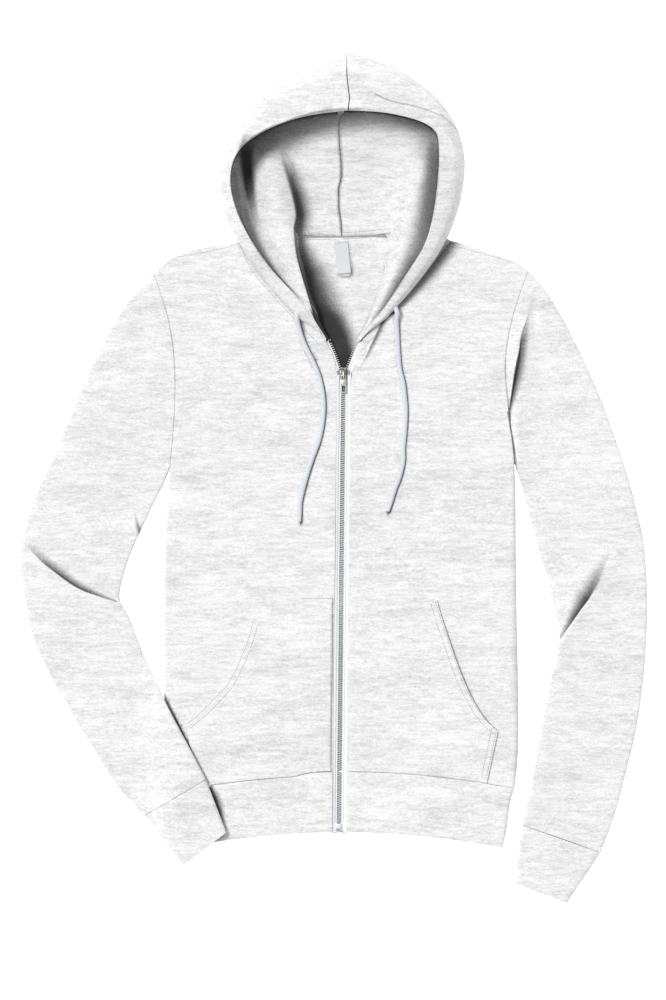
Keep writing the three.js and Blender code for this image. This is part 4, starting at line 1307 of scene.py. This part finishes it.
    @staticmethod
    def _plate(outline: list[Point2], low: float, high: float, holes: tuple = ()) -> bpy.types.Mesh:
        """Extrudes an outline, with rectangular holes, between two heights.

        Args:
            outline: Corner points in order.
            low: Height of the underside.
            high: Height of the top.
            holes: Corner lists of the holes.

        Returns:
            The mesh, in metres.
        """
        curve = bpy.data.curves.new("plate", "CURVE")
        curve.dimensions = "2D"
        curve.fill_mode = "BOTH"
        for ring in (outline, *holes):
            spline_ring = curve.splines.new("POLY")
            spline_ring.points.add(len(ring) - 1)
            for point, (x, y) in zip(spline_ring.points, ring):
                point.co = (x * MM, y * MM, 0, 1)
            spline_ring.use_cyclic_u = True
        curve.extrude = (high - low) / 2 * MM
        holder = bpy.data.objects.new("plate", curve)
        bpy.context.scene.collection.objects.link(holder)
        graph = bpy.context.evaluated_depsgraph_get()
        mesh = bpy.data.meshes.new_from_object(holder.evaluated_get(graph))
        bpy.data.objects.remove(holder)
        for vertex in mesh.vertices:
            vertex.co.z += (high + low) / 2 * MM
        return mesh

    def _metal_piece(self, name: str, meshes: list[bpy.types.Mesh], at: Vector,
                     bevel: float) -> bpy.types.Object:
        """Joins meshes at a place into one piece with softened edges."""
        bm = bmesh.new()
        for mesh in meshes:
            bm.from_mesh(mesh)
        bmesh.ops.remove_doubles(bm, verts=bm.verts, dist=1e-6)
        bmesh.ops.translate(bm, verts=bm.verts, vec=at)
        bmesh.ops.recalc_face_normals(bm, faces=bm.faces)
        joined = bpy.data.meshes.new(name)
        bm.to_mesh(joined)
        bm.free()
        piece = new_object(name, joined)
        soften = piece.modifiers.new("edge", "BEVEL")
        soften.width = bevel * MM
        soften.segments = 2
        soften.limit_method = "ANGLE"
        soften.angle_limit = math.radians(40)
        apply_modifiers(piece)
        piece.data.polygons.foreach_set("use_smooth", [True] * len(piece.data.polygons))
        self.parts.append(piece)
        return piece

    def _slider(self, material: bpy.types.Material, dark: bpy.types.Material) -> None:
        """Builds the slider: two plates with flanges, a post and ridges in a darker copy of the nickel,
        which is painted shade, and a bridge in the plain nickel.
        """
        wing = [(-4.6, 5.2), (-3.4, 6.5), (-1.2, 6.5), (-0.7, 5.6), (0.7, 5.6), (1.2, 6.5), (3.4, 6.5),
                (4.6, 5.2), (4.3, 1.0), (3.3, -6.2), (2.9, -6.5), (-2.9, -6.5), (-3.3, -6.2), (-4.3, 1.0)]
        side_wall = [(-4.5, 3.6), (-3.7, 3.6), (-2.7, -6.3), (-3.25, -6.3)]
        mirrored = [(-x, y) for x, y in reversed(side_wall)]
        body = [
            self._plate(wing, 6.7, 7.6), self._plate(wing, 2.5, 3.5),
            self._plate(side_wall, 5.9, 6.9), self._plate(mirrored, 5.9, 6.9),
            self._plate(side_wall, 3.3, 4.3), self._plate(mirrored, 3.3, 4.3),
            self._plate([(-1.1, 4.5), (1.1, 4.5), (0.8, 6.4), (-0.8, 6.4)], 3.3, 6.9),
            self._plate([(-2.6, -5.4), (-1.9, -5.4), (-2.3, 5.4), (-3.0, 5.4)], 7.4, 7.85),
            self._plate([(1.9, -5.4), (2.6, -5.4), (3.0, 5.4), (2.3, 5.4)], 7.4, 7.85),
        ]
        bridge = [
            self._plate([(-0.9, 2.4), (0.9, 2.4), (0.9, 4.4), (-0.9, 4.4)], 7.5, 10.2),
            self._plate([(-0.9, -4.4), (0.9, -4.4), (0.9, -2.4), (-0.9, -2.4)], 7.5, 10.2),
            self._plate([(-0.9, -4.2), (0.9, -4.2), (0.9, 4.2), (-0.9, 4.2)], 9.6, 10.7),
        ]
        at = Place(zip_shift(self.slider_y), self.slider_y).metres()
        plates = self._metal_piece("zip_slider_body", body, at, 0.22)
        dress(plates, dark, replaces=("zip_slider",))
        dress(self._metal_piece("zip_slider_bridge", bridge, at, 0.3), material)

    def _pull(self, material: bpy.types.Material) -> None:
        """Builds the pull tab, which turns on the bridge."""
        outline = [(-2.6, 0.55), (2.6, 0.55), (3.3, -0.4), (3.3, -20.0), (3.0, -20.7), (2.4, -21.0),
                   (-2.4, -21.0), (-3.0, -20.7), (-3.3, -20.0), (-3.3, -0.4)]
        upper = [(-1.4, -0.55), (1.4, -0.55), (1.4, -4.55), (-1.4, -4.55)]
        lower = [(-2.0, -12.5), (2.0, -12.5), (2.0, -19.4), (-2.0, -19.4)]
        rim = [(-2.7, -5.6), (2.7, -5.6), (2.7, -11.6), (-2.7, -11.6)]
        meshes = [self._plate(outline, -0.55, 0.45, (upper, lower)), self._plate(rim, 0.2, 0.62)]
        at = Place(zip_shift(self.slider_y), self.slider_y, self.pull_z).metres()
        piece = self._metal_piece("zip_pull_tab", meshes, at, 0.2)
        dress(piece, material, body=PULL_TAB, replaces=("zip_pull",))

    def _stops(self, material: bpy.types.Material) -> None:
        """Builds the box at the zip's foot and the clamps at its two tops."""
        y = 6.45
        box = [(-3.7, -3.2), (3.7, -3.2), (3.7, 3.2), (-3.7, 3.2)]
        pin = [(0.5, -3.2), (1.2, -3.2), (1.2, 3.2), (0.5, 3.2)]
        meshes = [self._plate(box, 3.3, 7.4), self._plate(pin, 7.2, 7.8)]
        piece = self._metal_piece("zip_stop_box", meshes, Place(zip_shift(y), y).metres(), 0.35)
        dress(piece, material, replaces=("zip_bottom_stop",))
        clamp = [(-1.7, -1.2), (1.7, -1.2), (1.7, 1.2), (-1.7, 1.2)]
        for name, side in (("right", -1), ("left", 1)):
            x, y = self.spread[-1]
            at = Place(side * x + zip_shift(y), y + 0.5).metres()
            piece = self._metal_piece(f"zip_top_clamp_{name}", [self._plate(clamp, 3.9, 6.5)], at, 0.4)
            dress(piece, material)


@dataclass
class NeckLabel:
    """A small bare woven label, sewn at its top edge and curling a little at its free end."""

    x: float = 1.0
    y: float = 678.0
    width: float = 16.0
    length: float = 38.0
    turn: float = 0.09
    base: float = 2.5
    thickness: float = 0.5
    curl: float = 3.2

    def build(self, material: bpy.types.Material, thread: bpy.types.Material) -> None:
        """Builds the label and the stitches along its top edge.

        Args:
            material: The label's woven satin.
            thread: The sewing thread.
        """
        columns, rows = 12, 24
        verts, faces = [], []
        for layer in (0.0, self.thickness):
            for i in range(rows + 1):
                for j in range(columns + 1):
                    verts.append(self._spot(j / columns, i / rows, layer))
        across, level = columns + 1, (columns + 1) * (rows + 1)
        for i in range(rows):
            for j in range(columns):
                a = i * across + j
                faces.append((a, a + across, a + across + 1, a + 1))
                faces.append((level + a, level + a + 1, level + a + across + 1, level + a + across))
        rim = ([j for j in range(across)] + [i * across + columns for i in range(1, rows + 1)]
               + [rows * across + j for j in reversed(range(columns))]
               + [i * across for i in reversed(range(1, rows))])
        for a, b in zip(rim, rim[1:] + rim[:1]):
            faces.append((a, b, b + level, a + level))
        label = mesh_from("neck_label_cloth", verts, faces)
        recalculate(label)
        dress(label, material, replaces=("neck_label",))
        verts, faces = [], []
        for share in np.linspace(0.06, 0.94, 7):
            spots = [self._raw(share + d, 0.04, self.thickness + rise)
                     for d, rise in ((-0.045, 0.05), (0, 0.3), (0.045, 0.05))]
            sweep(spots, [(0.2, 0.15), (0.3, 0.2), (0.2, 0.15)], 6, verts, faces)
        stitches = mesh_from("neck_label_stitches", verts, faces)
        recalculate(stitches)
        dress(stitches, thread)

    def _raw(self, across: float, down: float, layer: float) -> Vector:
        """Returns a point of the label in millimetres."""
        u = (across - 0.5) * self.width
        v = (0.5 - down) * self.length
        lift = self.curl * max(0.0, down - 0.55) ** 2 * 4.0 * (0.35 + 0.65 * across)
        c, s = math.cos(self.turn), math.sin(self.turn)
        return Vector((self.x + u * c - v * s, self.y + u * s + v * c, self.base + layer + lift))

    def _spot(self, across: float, down: float, layer: float) -> Vector:
        """Returns a point of the label in metres."""
        return Place(*self._raw(across, down, layer)).metres()


RIGHT_TONGUE = Tongue((-26, 593), (10, -13))
LEFT_TONGUE = Tongue((28, 592), (-10, -13))

FRONT_RIPPLES = (
    Ripple((-150, 560), (-60, 520), 26, 0.9), Ripple((60, 470), (150, 430), 24, 0.8),
    Ripple((-180, 330), (-60, 300), 22, 0.7), Ripple((40, 330), (170, 360), 24, 0.8),
    Ripple((-40, 420), (-30, 250), 16, -0.6), Ripple((36, 400), (44, 240), 15, -0.6),
    Ripple((-196, 480), (-120, 560), 15, -1.2), Ripple((190, 480), (120, 540), 15, -1.2),
)
BACK_RIPPLES = tuple(
    Ripple(start, end, width, height, Layer.UNDERSIDE) for start, end, width, height in (
        ((-180, 480), (-60, 430), 16, 1.1), ((180, 470), (70, 420), 18, 1.2),
        ((-120, 250), (140, 290), 20, 0.9), ((-60, 620), (70, 640), 22, 1.0),
        ((-30, 560), (20, 200), 14, 0.8), ((-190, 140), (-80, 170), 15, 0.9)))
RIGHT_SLEEVE_FOLDS = (
    Fold(picked((116, 602), (98, 597), (76.5, 589), (46, 567), (29, 549)), 3.4, 16, 3.2, 12, 2.6, 1.0,
          0.45),
    Fold(picked((133, 513), (137, 519), (141, 533)), 0.8, 7, 2.0, 6, 1.0),
    Ripple((-300, 520), (-250, 440), 12, -1.3), Ripple((-330, 440), (-270, 400), 13, 1.0),
    Ripple((-352, 250), (-280, 205), 13, -1.0), Ripple((-300, 150), (-245, 165), 12, 0.8),
    Ripple((-285, 90), (-220, 120), 10, -0.9),
    Ripple((-320, 480), (-250, 430), 12, 1.1, Layer.UNDERSIDE),
    Ripple((-365, 300), (-280, 270), 12, 1.4, Layer.UNDERSIDE),
    Ripple((-310, 150), (-240, 150), 12, 1.0, Layer.UNDERSIDE),
)
LEFT_SLEEVE_FOLDS = (
    Fold(((316, 321), (303, 300), (294.8, 276.9)) + picked((582, 611), (572, 625)) + ((257.5, 226),),
         3.2, 17,
          3.6, 11, 2.6, 1.0, 0.45),
    Fold(((195.2, 470), (196.4, 490), (197.6, 510.9)) + picked((513, 380), (517, 359), (520,
         337)) + ((217.1, 603),), 2.4, 7, 4.4, 8, 2.2, 0.9, 0.4),
    Ripple((226.6, 625), (228, 584), 4.5, -1.8),
    Ripple((300, 520), (255, 420), 14, -1.2), Ripple((332, 430), (262, 380), 13, 1.0),
    Ripple((345, 210), (262, 190), 14, 0.9), Ripple((340, 130), (255, 110), 12, -0.9),
    Ripple((310, 30), (250, 50), 10, 0.7),
    Ripple((300, 480), (250, 400), 12, 1.1, Layer.UNDERSIDE),
    Ripple((350, 300), (270, 260), 12, 1.4, Layer.UNDERSIDE),
    Ripple((330, 120), (250, 130), 12, 1.0, Layer.UNDERSIDE),
)
HOOD_RIGHT_FOLDS = (
    Fold(picked((323.5, 332), (315, 310), (308, 288), (302, 268), (298, 250), (296, 232), (295.5, 215),
          (293, 198), (288, 178), (283, 160)), 1.2, 8, 1.5, 10, 2.4, 1.4, 0.3),
    Stretch(((-54, 712), (-49.5, 680), (-42, 650), (-34, 622), (-25, 596)), (-4.2, -0.5), 10),
)
HOOD_LEFT_FOLDS = (
    Fold(picked((374, 97), (392, 105), (414, 114), (433, 122), (448, 131)), 0.8, 6, 1.6, 4, 0.6, 1.4),
)
HEM_PULL = Stretch(((-150, 59), (-120, 63.5), (-90, 67), (-60, 69)), (0, -4.6), 16)
LEFT_FRONT_FOLDS = (
    Stretch(((56, 604), (42, 592.5), (28, 579)), (-3.0, 4.2), 7),
    Fold(((66, 618), (56, 603), (44.8, 588), (33, 570), (24, 550)), 0.4, 8, 3.0, 7, 1.0, 1.0, 0.5),
    *FRONT_RIPPLES,
)
RIGHT_FRONT_FOLDS = (
    HEM_PULL, Stretch(((-52, 604), (-38, 591), (-26, 579)), (3.6, 4.2), 7),
    Fold(picked((307, 329)) + ((-36, 586),) + picked((314.5, 341)), 0.5, 5, 1.2, 5, 0.6, 1.0),
    *FRONT_RIPPLES,
)

CASING_EDGE = picked((375, 96), (391, 103), (414, 108), (437, 116), (447, 121.5), (455, 130))

# Painted shade strokes: the cloth's colour is darkened where shadow falls beside brims, folds, seams, edges
# and creases.
SHADES = (
    # The deep hollow beside the hood's left brim
    Shade(((-107.5, 825), (-112.1, 810.6)) + picked((246, 160), (248, 182), (252, 205), (258, 228)),
         ("hood_right",), (0.0, 0.97, 1.0, 0.9, 0.5, 0.0), left=(12.0, 13.0, 12.0, 8.0,
          5.0), right=(8.0, 12.0, 9.0, 5.0, 4.0), core=0.35),
    # The brim's inner side below the hollow
    Shade(picked((234, 172), (236, 195), (243, 222), (255, 246), (272, 270), (292, 292), (312, 318)),
          ("hood_right",), (0.25, 0.2, 0.12, 0.1, 0.1, 0.1, 0.1), left=(9.0, 7.0, 4.0, 2.5, 2.0, 2.0,
          2.0), right=(2.0, 1.5, 1.5), core=0.2),
    # Beside the hood's turned in left side
    Shade(picked((282, 158), (288, 178), (293, 198), (296, 215), (297, 232), (298, 250), (302, 268),
          (308, 288), (315, 310), (323, 332)), ("hood_right", "hood_left", "back_panel"), (0.2, 0.7, 0.9,
          0.92, 0.6, 0.85, 0.95, 0.96, 0.97, 0.98), left=(14.0, 20.0, 25.0, 27.0, 17.0, 28.0, 38.0, 43.0,
          44.0, 40.0), right=(5.0, 1.5, 1.0), core=0.22),
    # The neck's end above the slider
    Shade(picked((324, 332), (331, 345), (338, 360), (343, 376)), ("back_panel", "hood_right",
          "hood_left"), (0.97, 0.98, 1.0, 1.0), left=(38.0, 36.0, 30.0, 22.0), right=(6.0,), core=0.5),
    # Under the brim's upper edge, on the left
    Shade(picked((236, 160), (250, 141), (268, 130), (288, 122), (310, 115), (330, 111), (352, 110)),
          ("hood_right", "hood_left"), (0.0, 0.7, 0.66, 0.6, 0.56, 0.54, 0.38), left=(0.4,), right=(30.0,
          34.0, 44.0, 44.0, 36.0, 26.0, 18.0)),
    # Under the brim's upper edge, on the right
    Shade(picked((348, 110), (372, 111), (392, 115), (412, 121), (436, 131)), ("hood_left",), (0.25, 0.2,
          0.16, 0.2, 0.0), left=(0.4,), right=(16.0, 13.0, 12.0, 14.0, 20.0)),
    # Inside the right brim
    Shade(picked((436, 126), (438, 150), (438, 170), (437, 190), (433, 215), (424, 240), (412, 265),
          (400, 285), (388, 302), (374, 322)), ("hood_left",), (0.0, 0.5, 0.45, 0.36, 0.3, 0.3, 0.32,
          0.34, 0.3, 0.1), left=(1.0,), right=(12.0, 17.0, 22.0, 27.0, 29.0, 26.0, 20.0, 14.0, 9.0, 5.0),
          core=0.4),
    # On the left front outside the right brim
    Shade(picked((450, 236), (441, 252), (427, 272), (412, 292), (400, 306), (386, 324)), ("front_left",
          "sleeve_left", "back_panel"), (0.8, 0.85, 0.8, 0.75, 0.6, 0.3), left=(24.0, 20.0, 17.0, 12.0,
          6.0, 4.0), right=(4.0,)),
    # The crease from the right brim to the zip
    Shade(picked((394, 312), (386, 324), (376, 340), (368, 354), (360, 368)), ("front_left",), (0.85, 0.9,
          0.8, 0.65, 0.1), left=(5.0, 4.5, 3.0), right=(1.5,)),
    # The left sleeve's tuck beside its armhole
    Shade(picked((508, 416), (510, 396), (513, 374), (518, 350), (523, 334), (526.5, 320)),
          ("sleeve_left",), (0.75, 0.93, 0.96, 0.92, 0.8, 0.3), left=(0.8,), right=(3.0, 10.0, 16.0, 17.0,
          12.0, 6.0), core=0.2),
    # The left side seam below the armpit
    Shade(picked((508, 412), (511, 430), (514, 448), (517, 470)), ("sleeve_left", "front_left"), (0.7,
          0.9, 0.9, 0.3), left=(1.8,), right=(1.8,)),
    # The left elbow's crease
    Shade(picked((607, 558), (601, 574), (592, 596), (577, 617), (561, 638)), ("sleeve_left",), (0.1, 0.6,
          0.95, 0.92, 0.5), left=(4.0, 4.0, 0.8, 0.8, 0.8), right=(10.0, 17.0, 22.0, 13.0, 4.0),
          core=0.15),
    # The right elbow's crease
    Shade(picked((116, 602), (98, 597), (76.5, 589), (60, 578), (46, 566), (30, 549)), ("sleeve_right",),
          (0.6, 0.88, 0.95, 0.95, 0.75, 0.2), left=(0.8,), right=(3.0, 8.0, 13.0, 15.0, 13.0, 10.0)),
    # The right sleeve's short crease
    Shade(picked((143, 534), (139, 528), (135, 513)), ("sleeve_right",), (0.9, 0.6, 0.1), left=(7.0, 4.0,
          2.0), right=(6.0, 4.0, 2.0)),
    # The body beside the right forearm
    Shade(picked((161, 689), (174.5, 718), (190.5, 752), (204.5, 781)), ("front_right", "pocket_right",
          "hem_band", "back_panel"), (0.6, 0.9, 0.9, 0.9), left=(3.0,), right=(3.0,), core=0.5),
    # The hem beside the right cuff
    Shade(picked((206, 781), (213, 797), (220, 820), (223, 830)), ("hem_band", "front_right",
          "back_panel"), (0.95, 0.97, 0.9, 0.0), left=(9.0, 12.0, 11.0, 6.0), right=(3.0,), core=0.15),
    # The body's right side
    Shade(picked((517, 470), (517, 560), (518, 660), (520, 770), (514, 830)), ("front_left", "hem_band"),
          (0.12, 0.2, 0.22, 0.22, 0.2), left=(4.0,), right=(9.0,)),
    # The inner centre seam
    Shade(((0, 708), (0, 828.4)), ("hood_right", "hood_left"), (0.6, 0.65, 0.6, 0.7, 0.75, 0.65,
          0.55, 0.3), left=(3.4,), right=(2.4,), core=0.2),
    # The neck seam inside
    Shade(picked((300, 235.5), (330, 236.5), (365, 236), (390, 233)), ("hood_right", "hood_left",
          "back_panel"), (0.6, 0.45, 0.45, 0.4), left=(2.2,), right=(2.2,)),
    # Beside the right pocket's edge along the zip
    Shade(((-8.3, 277.3), (-9.4, 167.6), (-9.4, 69.6)), ("front_right", "pocket_right"), (0.4, 0.5, 0.4),
          left=(1.1,), right=(1.1,)),
    # The casing's stitched line on the hood's left side
    Shade(CASING_EDGE, ("hood_left",),
          (0.45, 0.5, 0.4, 0.3, 0.2), left=(1.3,), right=(1.3,)),
    # Under the label's free edges
    Shade(((7.6, 694), (10.9, 659), (-5.3, 657.6)), ("back_panel",), (0.1, 0.35, 0.6, 0.3),
          left=(3.4,), right=(1.0,), core=0.2),
    # Beside the left brim's stitched edge
    Shade(picked((236, 205), (248, 233), (262, 258), (283, 281), (306, 302)), ("hood_right",
          "front_right"), (0.2, 0.35, 0.4, 0.35, 0.2), left=(1.6,), right=(1.6,)),
)

# Painted shadows of the draw cords on the fronts beside them.
CORD_SHADES = tuple(
    Shade(tuple((x, y) for x, y, z in cord.route), ("front_right", "front_left"), (0.55, 0.85, 0.9, 0.9,
          0.9, 0.9, 0.8), left=(5.4,), right=(2.0,), core=0.5) for cord in CORDS)

CLOTHS = (
    ClothPiece("back_panel", "fleece", (450, 660), 268000, folds=BACK_RIPPLES, swell=0.0, top_from=1.2),
    ClothPiece("front_right", "fleece", (215, 650), 120000, folds=RIGHT_FRONT_FOLDS,
               rests_on=("back_panel",)),
    ClothPiece("front_left", "fleece", (215, 650), 120000, folds=LEFT_FRONT_FOLDS,
               rests_on=("back_panel",)),
    ClothPiece("sleeve_right", "fleece", (300, 560), 145000, ClothKind.TUBE, RIGHT_SLEEVE_FOLDS, levels=3),
    ClothPiece("sleeve_left", "fleece", (300, 600), 145000, ClothKind.TUBE, LEFT_SLEEVE_FOLDS, levels=3),
    ClothPiece("cuff_right", "rib", (164, 68), 11000, ClothKind.TUBE, swell=0.2),
    ClothPiece("cuff_left", "rib", (164, 68), 11000, ClothKind.TUBE, swell=0.2),
    ClothPiece("hem_band", "rib", (830, 72), 56000, folds=(HEM_PULL,), swell=0.3),
    ClothPiece("hood_right", "fleece", (300, 380), 60000, ClothKind.HOOD, HOOD_RIGHT_FOLDS, swell=0.2,
               tongue=RIGHT_TONGUE),
    ClothPiece("hood_left", "fleece", (300, 380), 60000, ClothKind.HOOD, HOOD_LEFT_FOLDS, swell=0.2,
               tongue=LEFT_TONGUE),
    ClothPiece("pocket_right", "fleece", (170, 215), 30000, folds=(HEM_PULL, *FRONT_RIPPLES),
               rests_on=("front_right",)),
    ClothPiece("pocket_left", "fleece", (170, 215), 30000, folds=FRONT_RIPPLES, rests_on=("front_left",)),
)

RIGHT_ARMHOLE = ((-222.6, 659.6), (-213, 631.3), (-204.4, 603), (-199.4, 584.1), (-196.8, 557.0),
                 (-196.4, 520), (-198.4, 481.4), (-202.4, 440), (-204, 428.3))
LEFT_ARMHOLE = ((219.6, 661.5), (211.5, 640), (200, 604), (194.5, 575), (191.8, 551), (193.4, 525),
                (196.8, 500), (201.8, 460), (204.6, 434))
RIGHT_HEM = ((-12, 70), (-60, 65.5), (-110, 60.0), (-160, 55.0), (-200, 50.0))
LEFT_HEM = ((6, 71), (60, 69.4), (110, 65.3), (160, 58.8), (200, 51.8))
RIGHT_MOUTH = ((-184, 128), (-166, 143), (-151, 158), (-134.5, 177), (-121.5, 203), (-112, 227), (-107,
     245),
               (-104, 273))
LEFT_MOUTH = ((184, 122), (172, 132), (158.5, 150), (143, 180.5), (130, 217), (119, 249), (112, 272))

SEWING = Sewing(
    seams={
        "armhole_seams": (SeamLine(RIGHT_ARMHOLE), SeamLine(LEFT_ARMHOLE[:7]),
                          SeamLine(LEFT_ARMHOLE[6:], dark=0.85)),
        "hem_seams": (SeamLine(RIGHT_HEM), SeamLine(LEFT_HEM)),
        "neckline_seams": (
            SeamLine(((-123, 698), (-102.8, 663.3), (-73.4, 627.8), (-45, 597), (-30, 583)), 2.4, 4.0,
                  0.1, 0.08),
            SeamLine(((127, 698), (104, 665), (73.3, 627.8)), 2.4, 4.0, 0.4, 0.5)),
        "cuff_seams": (SeamLine(((-232, 19.5), (-208, 33), (-184, 47), (-163, 59.5))),
                       SeamLine(((214, 8.4), (240, 0.6), (270, -9.6), (303, -22.2)))),
        "hood_seams": (
            SeamLine(((0.6, 704), (-1.2, 721), (-4, 736.3), (-4, 758.7), (-0.4, 772.9), (-0.4, 788.2),
                  (-3, 815.4), (-4, 837.8), (-2, 850)), 2.0, 4.5, 0.5, 0.75),
            SeamLine(((-56, 704), (-20, 703), (20, 703), (58, 705)), 2.0, 4.5, 0.5, 0.55)),
    },
    rows={
        "pocket_stitches": (
            StitchRow(RIGHT_MOUTH[:-1], shift=1.2), StitchRow(RIGHT_MOUTH[:-1], shift=7.4),
            StitchRow(LEFT_MOUTH, shift=-1.6), StitchRow(LEFT_MOUTH, shift=-7.6),
            StitchRow(((184, 121), (178, 92), (172.5, 66)), shift=1.6),
            StitchRow(((184, 121), (178, 92), (172.5, 66)), shift=7.6),
            StitchRow(((-48, 275.6), (-12, 275.6))),
            StitchRow(((-12.6, 272), (-13.4, 180), (-14.2, 76))),
        ),
        "neck_stitches": (
            StitchRow(((1.2, 699.9),) + picked((365, 237.5)) + ((56.6, 705),)),
            StitchRow(((1.2, 707.6), (27.1, 709), (56.6, 712.4))),
            StitchRow(((-50, 700.2), (-35.4, 699.6), (-14.2, 699.4))),
            StitchRow(((-120.4, 694), (-107, 663.5), (-83.8, 635.5), (-60, 609.5), (-40, 588.5),
                  (-26, 574))),
            StitchRow(((124, 690), (107, 660), (78, 629.5), (52, 600.5), (36, 583), (24, 569))),
        ),
        "casing_stitches": (
            StitchRow(CASING_EDGE + ((139.6, 817.7),)),
            StitchRow(picked((297, 296), (305, 300)) + ((-35.4, 621),) + picked((318, 316))),
        ),
        "shoulder_stitches": (
            StitchRow(((-126.3, 692), (-162.8, 683.8), (-195.9, 677.5), (-216, 661.8))),
            StitchRow(((128, 692), (153.4, 686.1), (174.6, 680), (201.8, 672), (214, 664.3))),
        ),
        "centre_seam_stitches": tuple(
            StitchRow(((x - 4.4, y), (x + 3.6, y)), pitch=8.0, length=6.0, radius=0.4)
            for x, y in ((-1.4, 721), (-1.0, 718.2), (-0.6, 715.4), (-0.2, 712.6), (0.0, 709.8))),
    },
)


def main() -> None:
    """Builds the studio and every piece of the garment."""
    logging.basicConfig(level=logging.INFO, format="%(name)s: %(message)s")
    Studio().build()
    cotton = WovenFinish("cord_cotton", (0.72, 0.75, 0.80), (0.58, 0.61, 0.67), (700, 700, 700)).build()
    for cord in CORDS:
        cord.build(cotton)
    effects = FibreEffects()
    finishes = {
        "fleece": HeatherFinish("fleece_heather").build(effects),
        "rib": HeatherFinish("rib_heather", rib_pitch=0.0026).build(effects),
    }
    tape = WovenFinish("tape_twill", (0.89, 0.915, 0.935), (0.79, 0.815, 0.85)).build()
    thread = WovenFinish("sewing_thread", (0.42, 0.42, 0.43), (0.3, 0.3, 0.31)).build()
    tape_thread = WovenFinish("tape_thread", (0.62, 0.65, 0.68), (0.5, 0.53, 0.56)).build()
    satin = WovenFinish("label_satin", (0.71, 0.74, 0.75), (0.63, 0.66, 0.67)).build()
    nickel = MetalFinish("nickel_antique", (0.60, 0.61, 0.56), (0.30, 0.29, 0.27), 0.6, 0.38).build(effects)
    # A darker copy of the nickel for the slider's plates: painted shade.
    dark = MetalFinish("nickel_painted_shade", (0.17, 0.16, 0.155), (0.05, 0.045, 0.04), 0.9, 0.36).build(effects)
    silver = MetalFinish("teeth_silver", (0.82, 0.83, 0.84), (0.66, 0.67, 0.69), 0.45).build(effects)
    pieces = [cloth.build(finishes[cloth.slot], SHADES + CORD_SHADES) for cloth in CLOTHS]
    for cloth in CLOTHS:
        cloth.declare()
    tree = tree_of(pieces)
    # Painted shade where the cloth lies low among higher cloth, joined to the painted shade strokes.
    PaintedHollowShade((-390, -90), (380, 930)).paint(pieces, tree)
    SEWING.build(Surface(tree), finishes["fleece"], thread)
    ZipFastener().build(silver, nickel, dark, tape, tape_thread)
    NeckLabel().build(satin, thread)


if __name__ == "__main__":
    main()
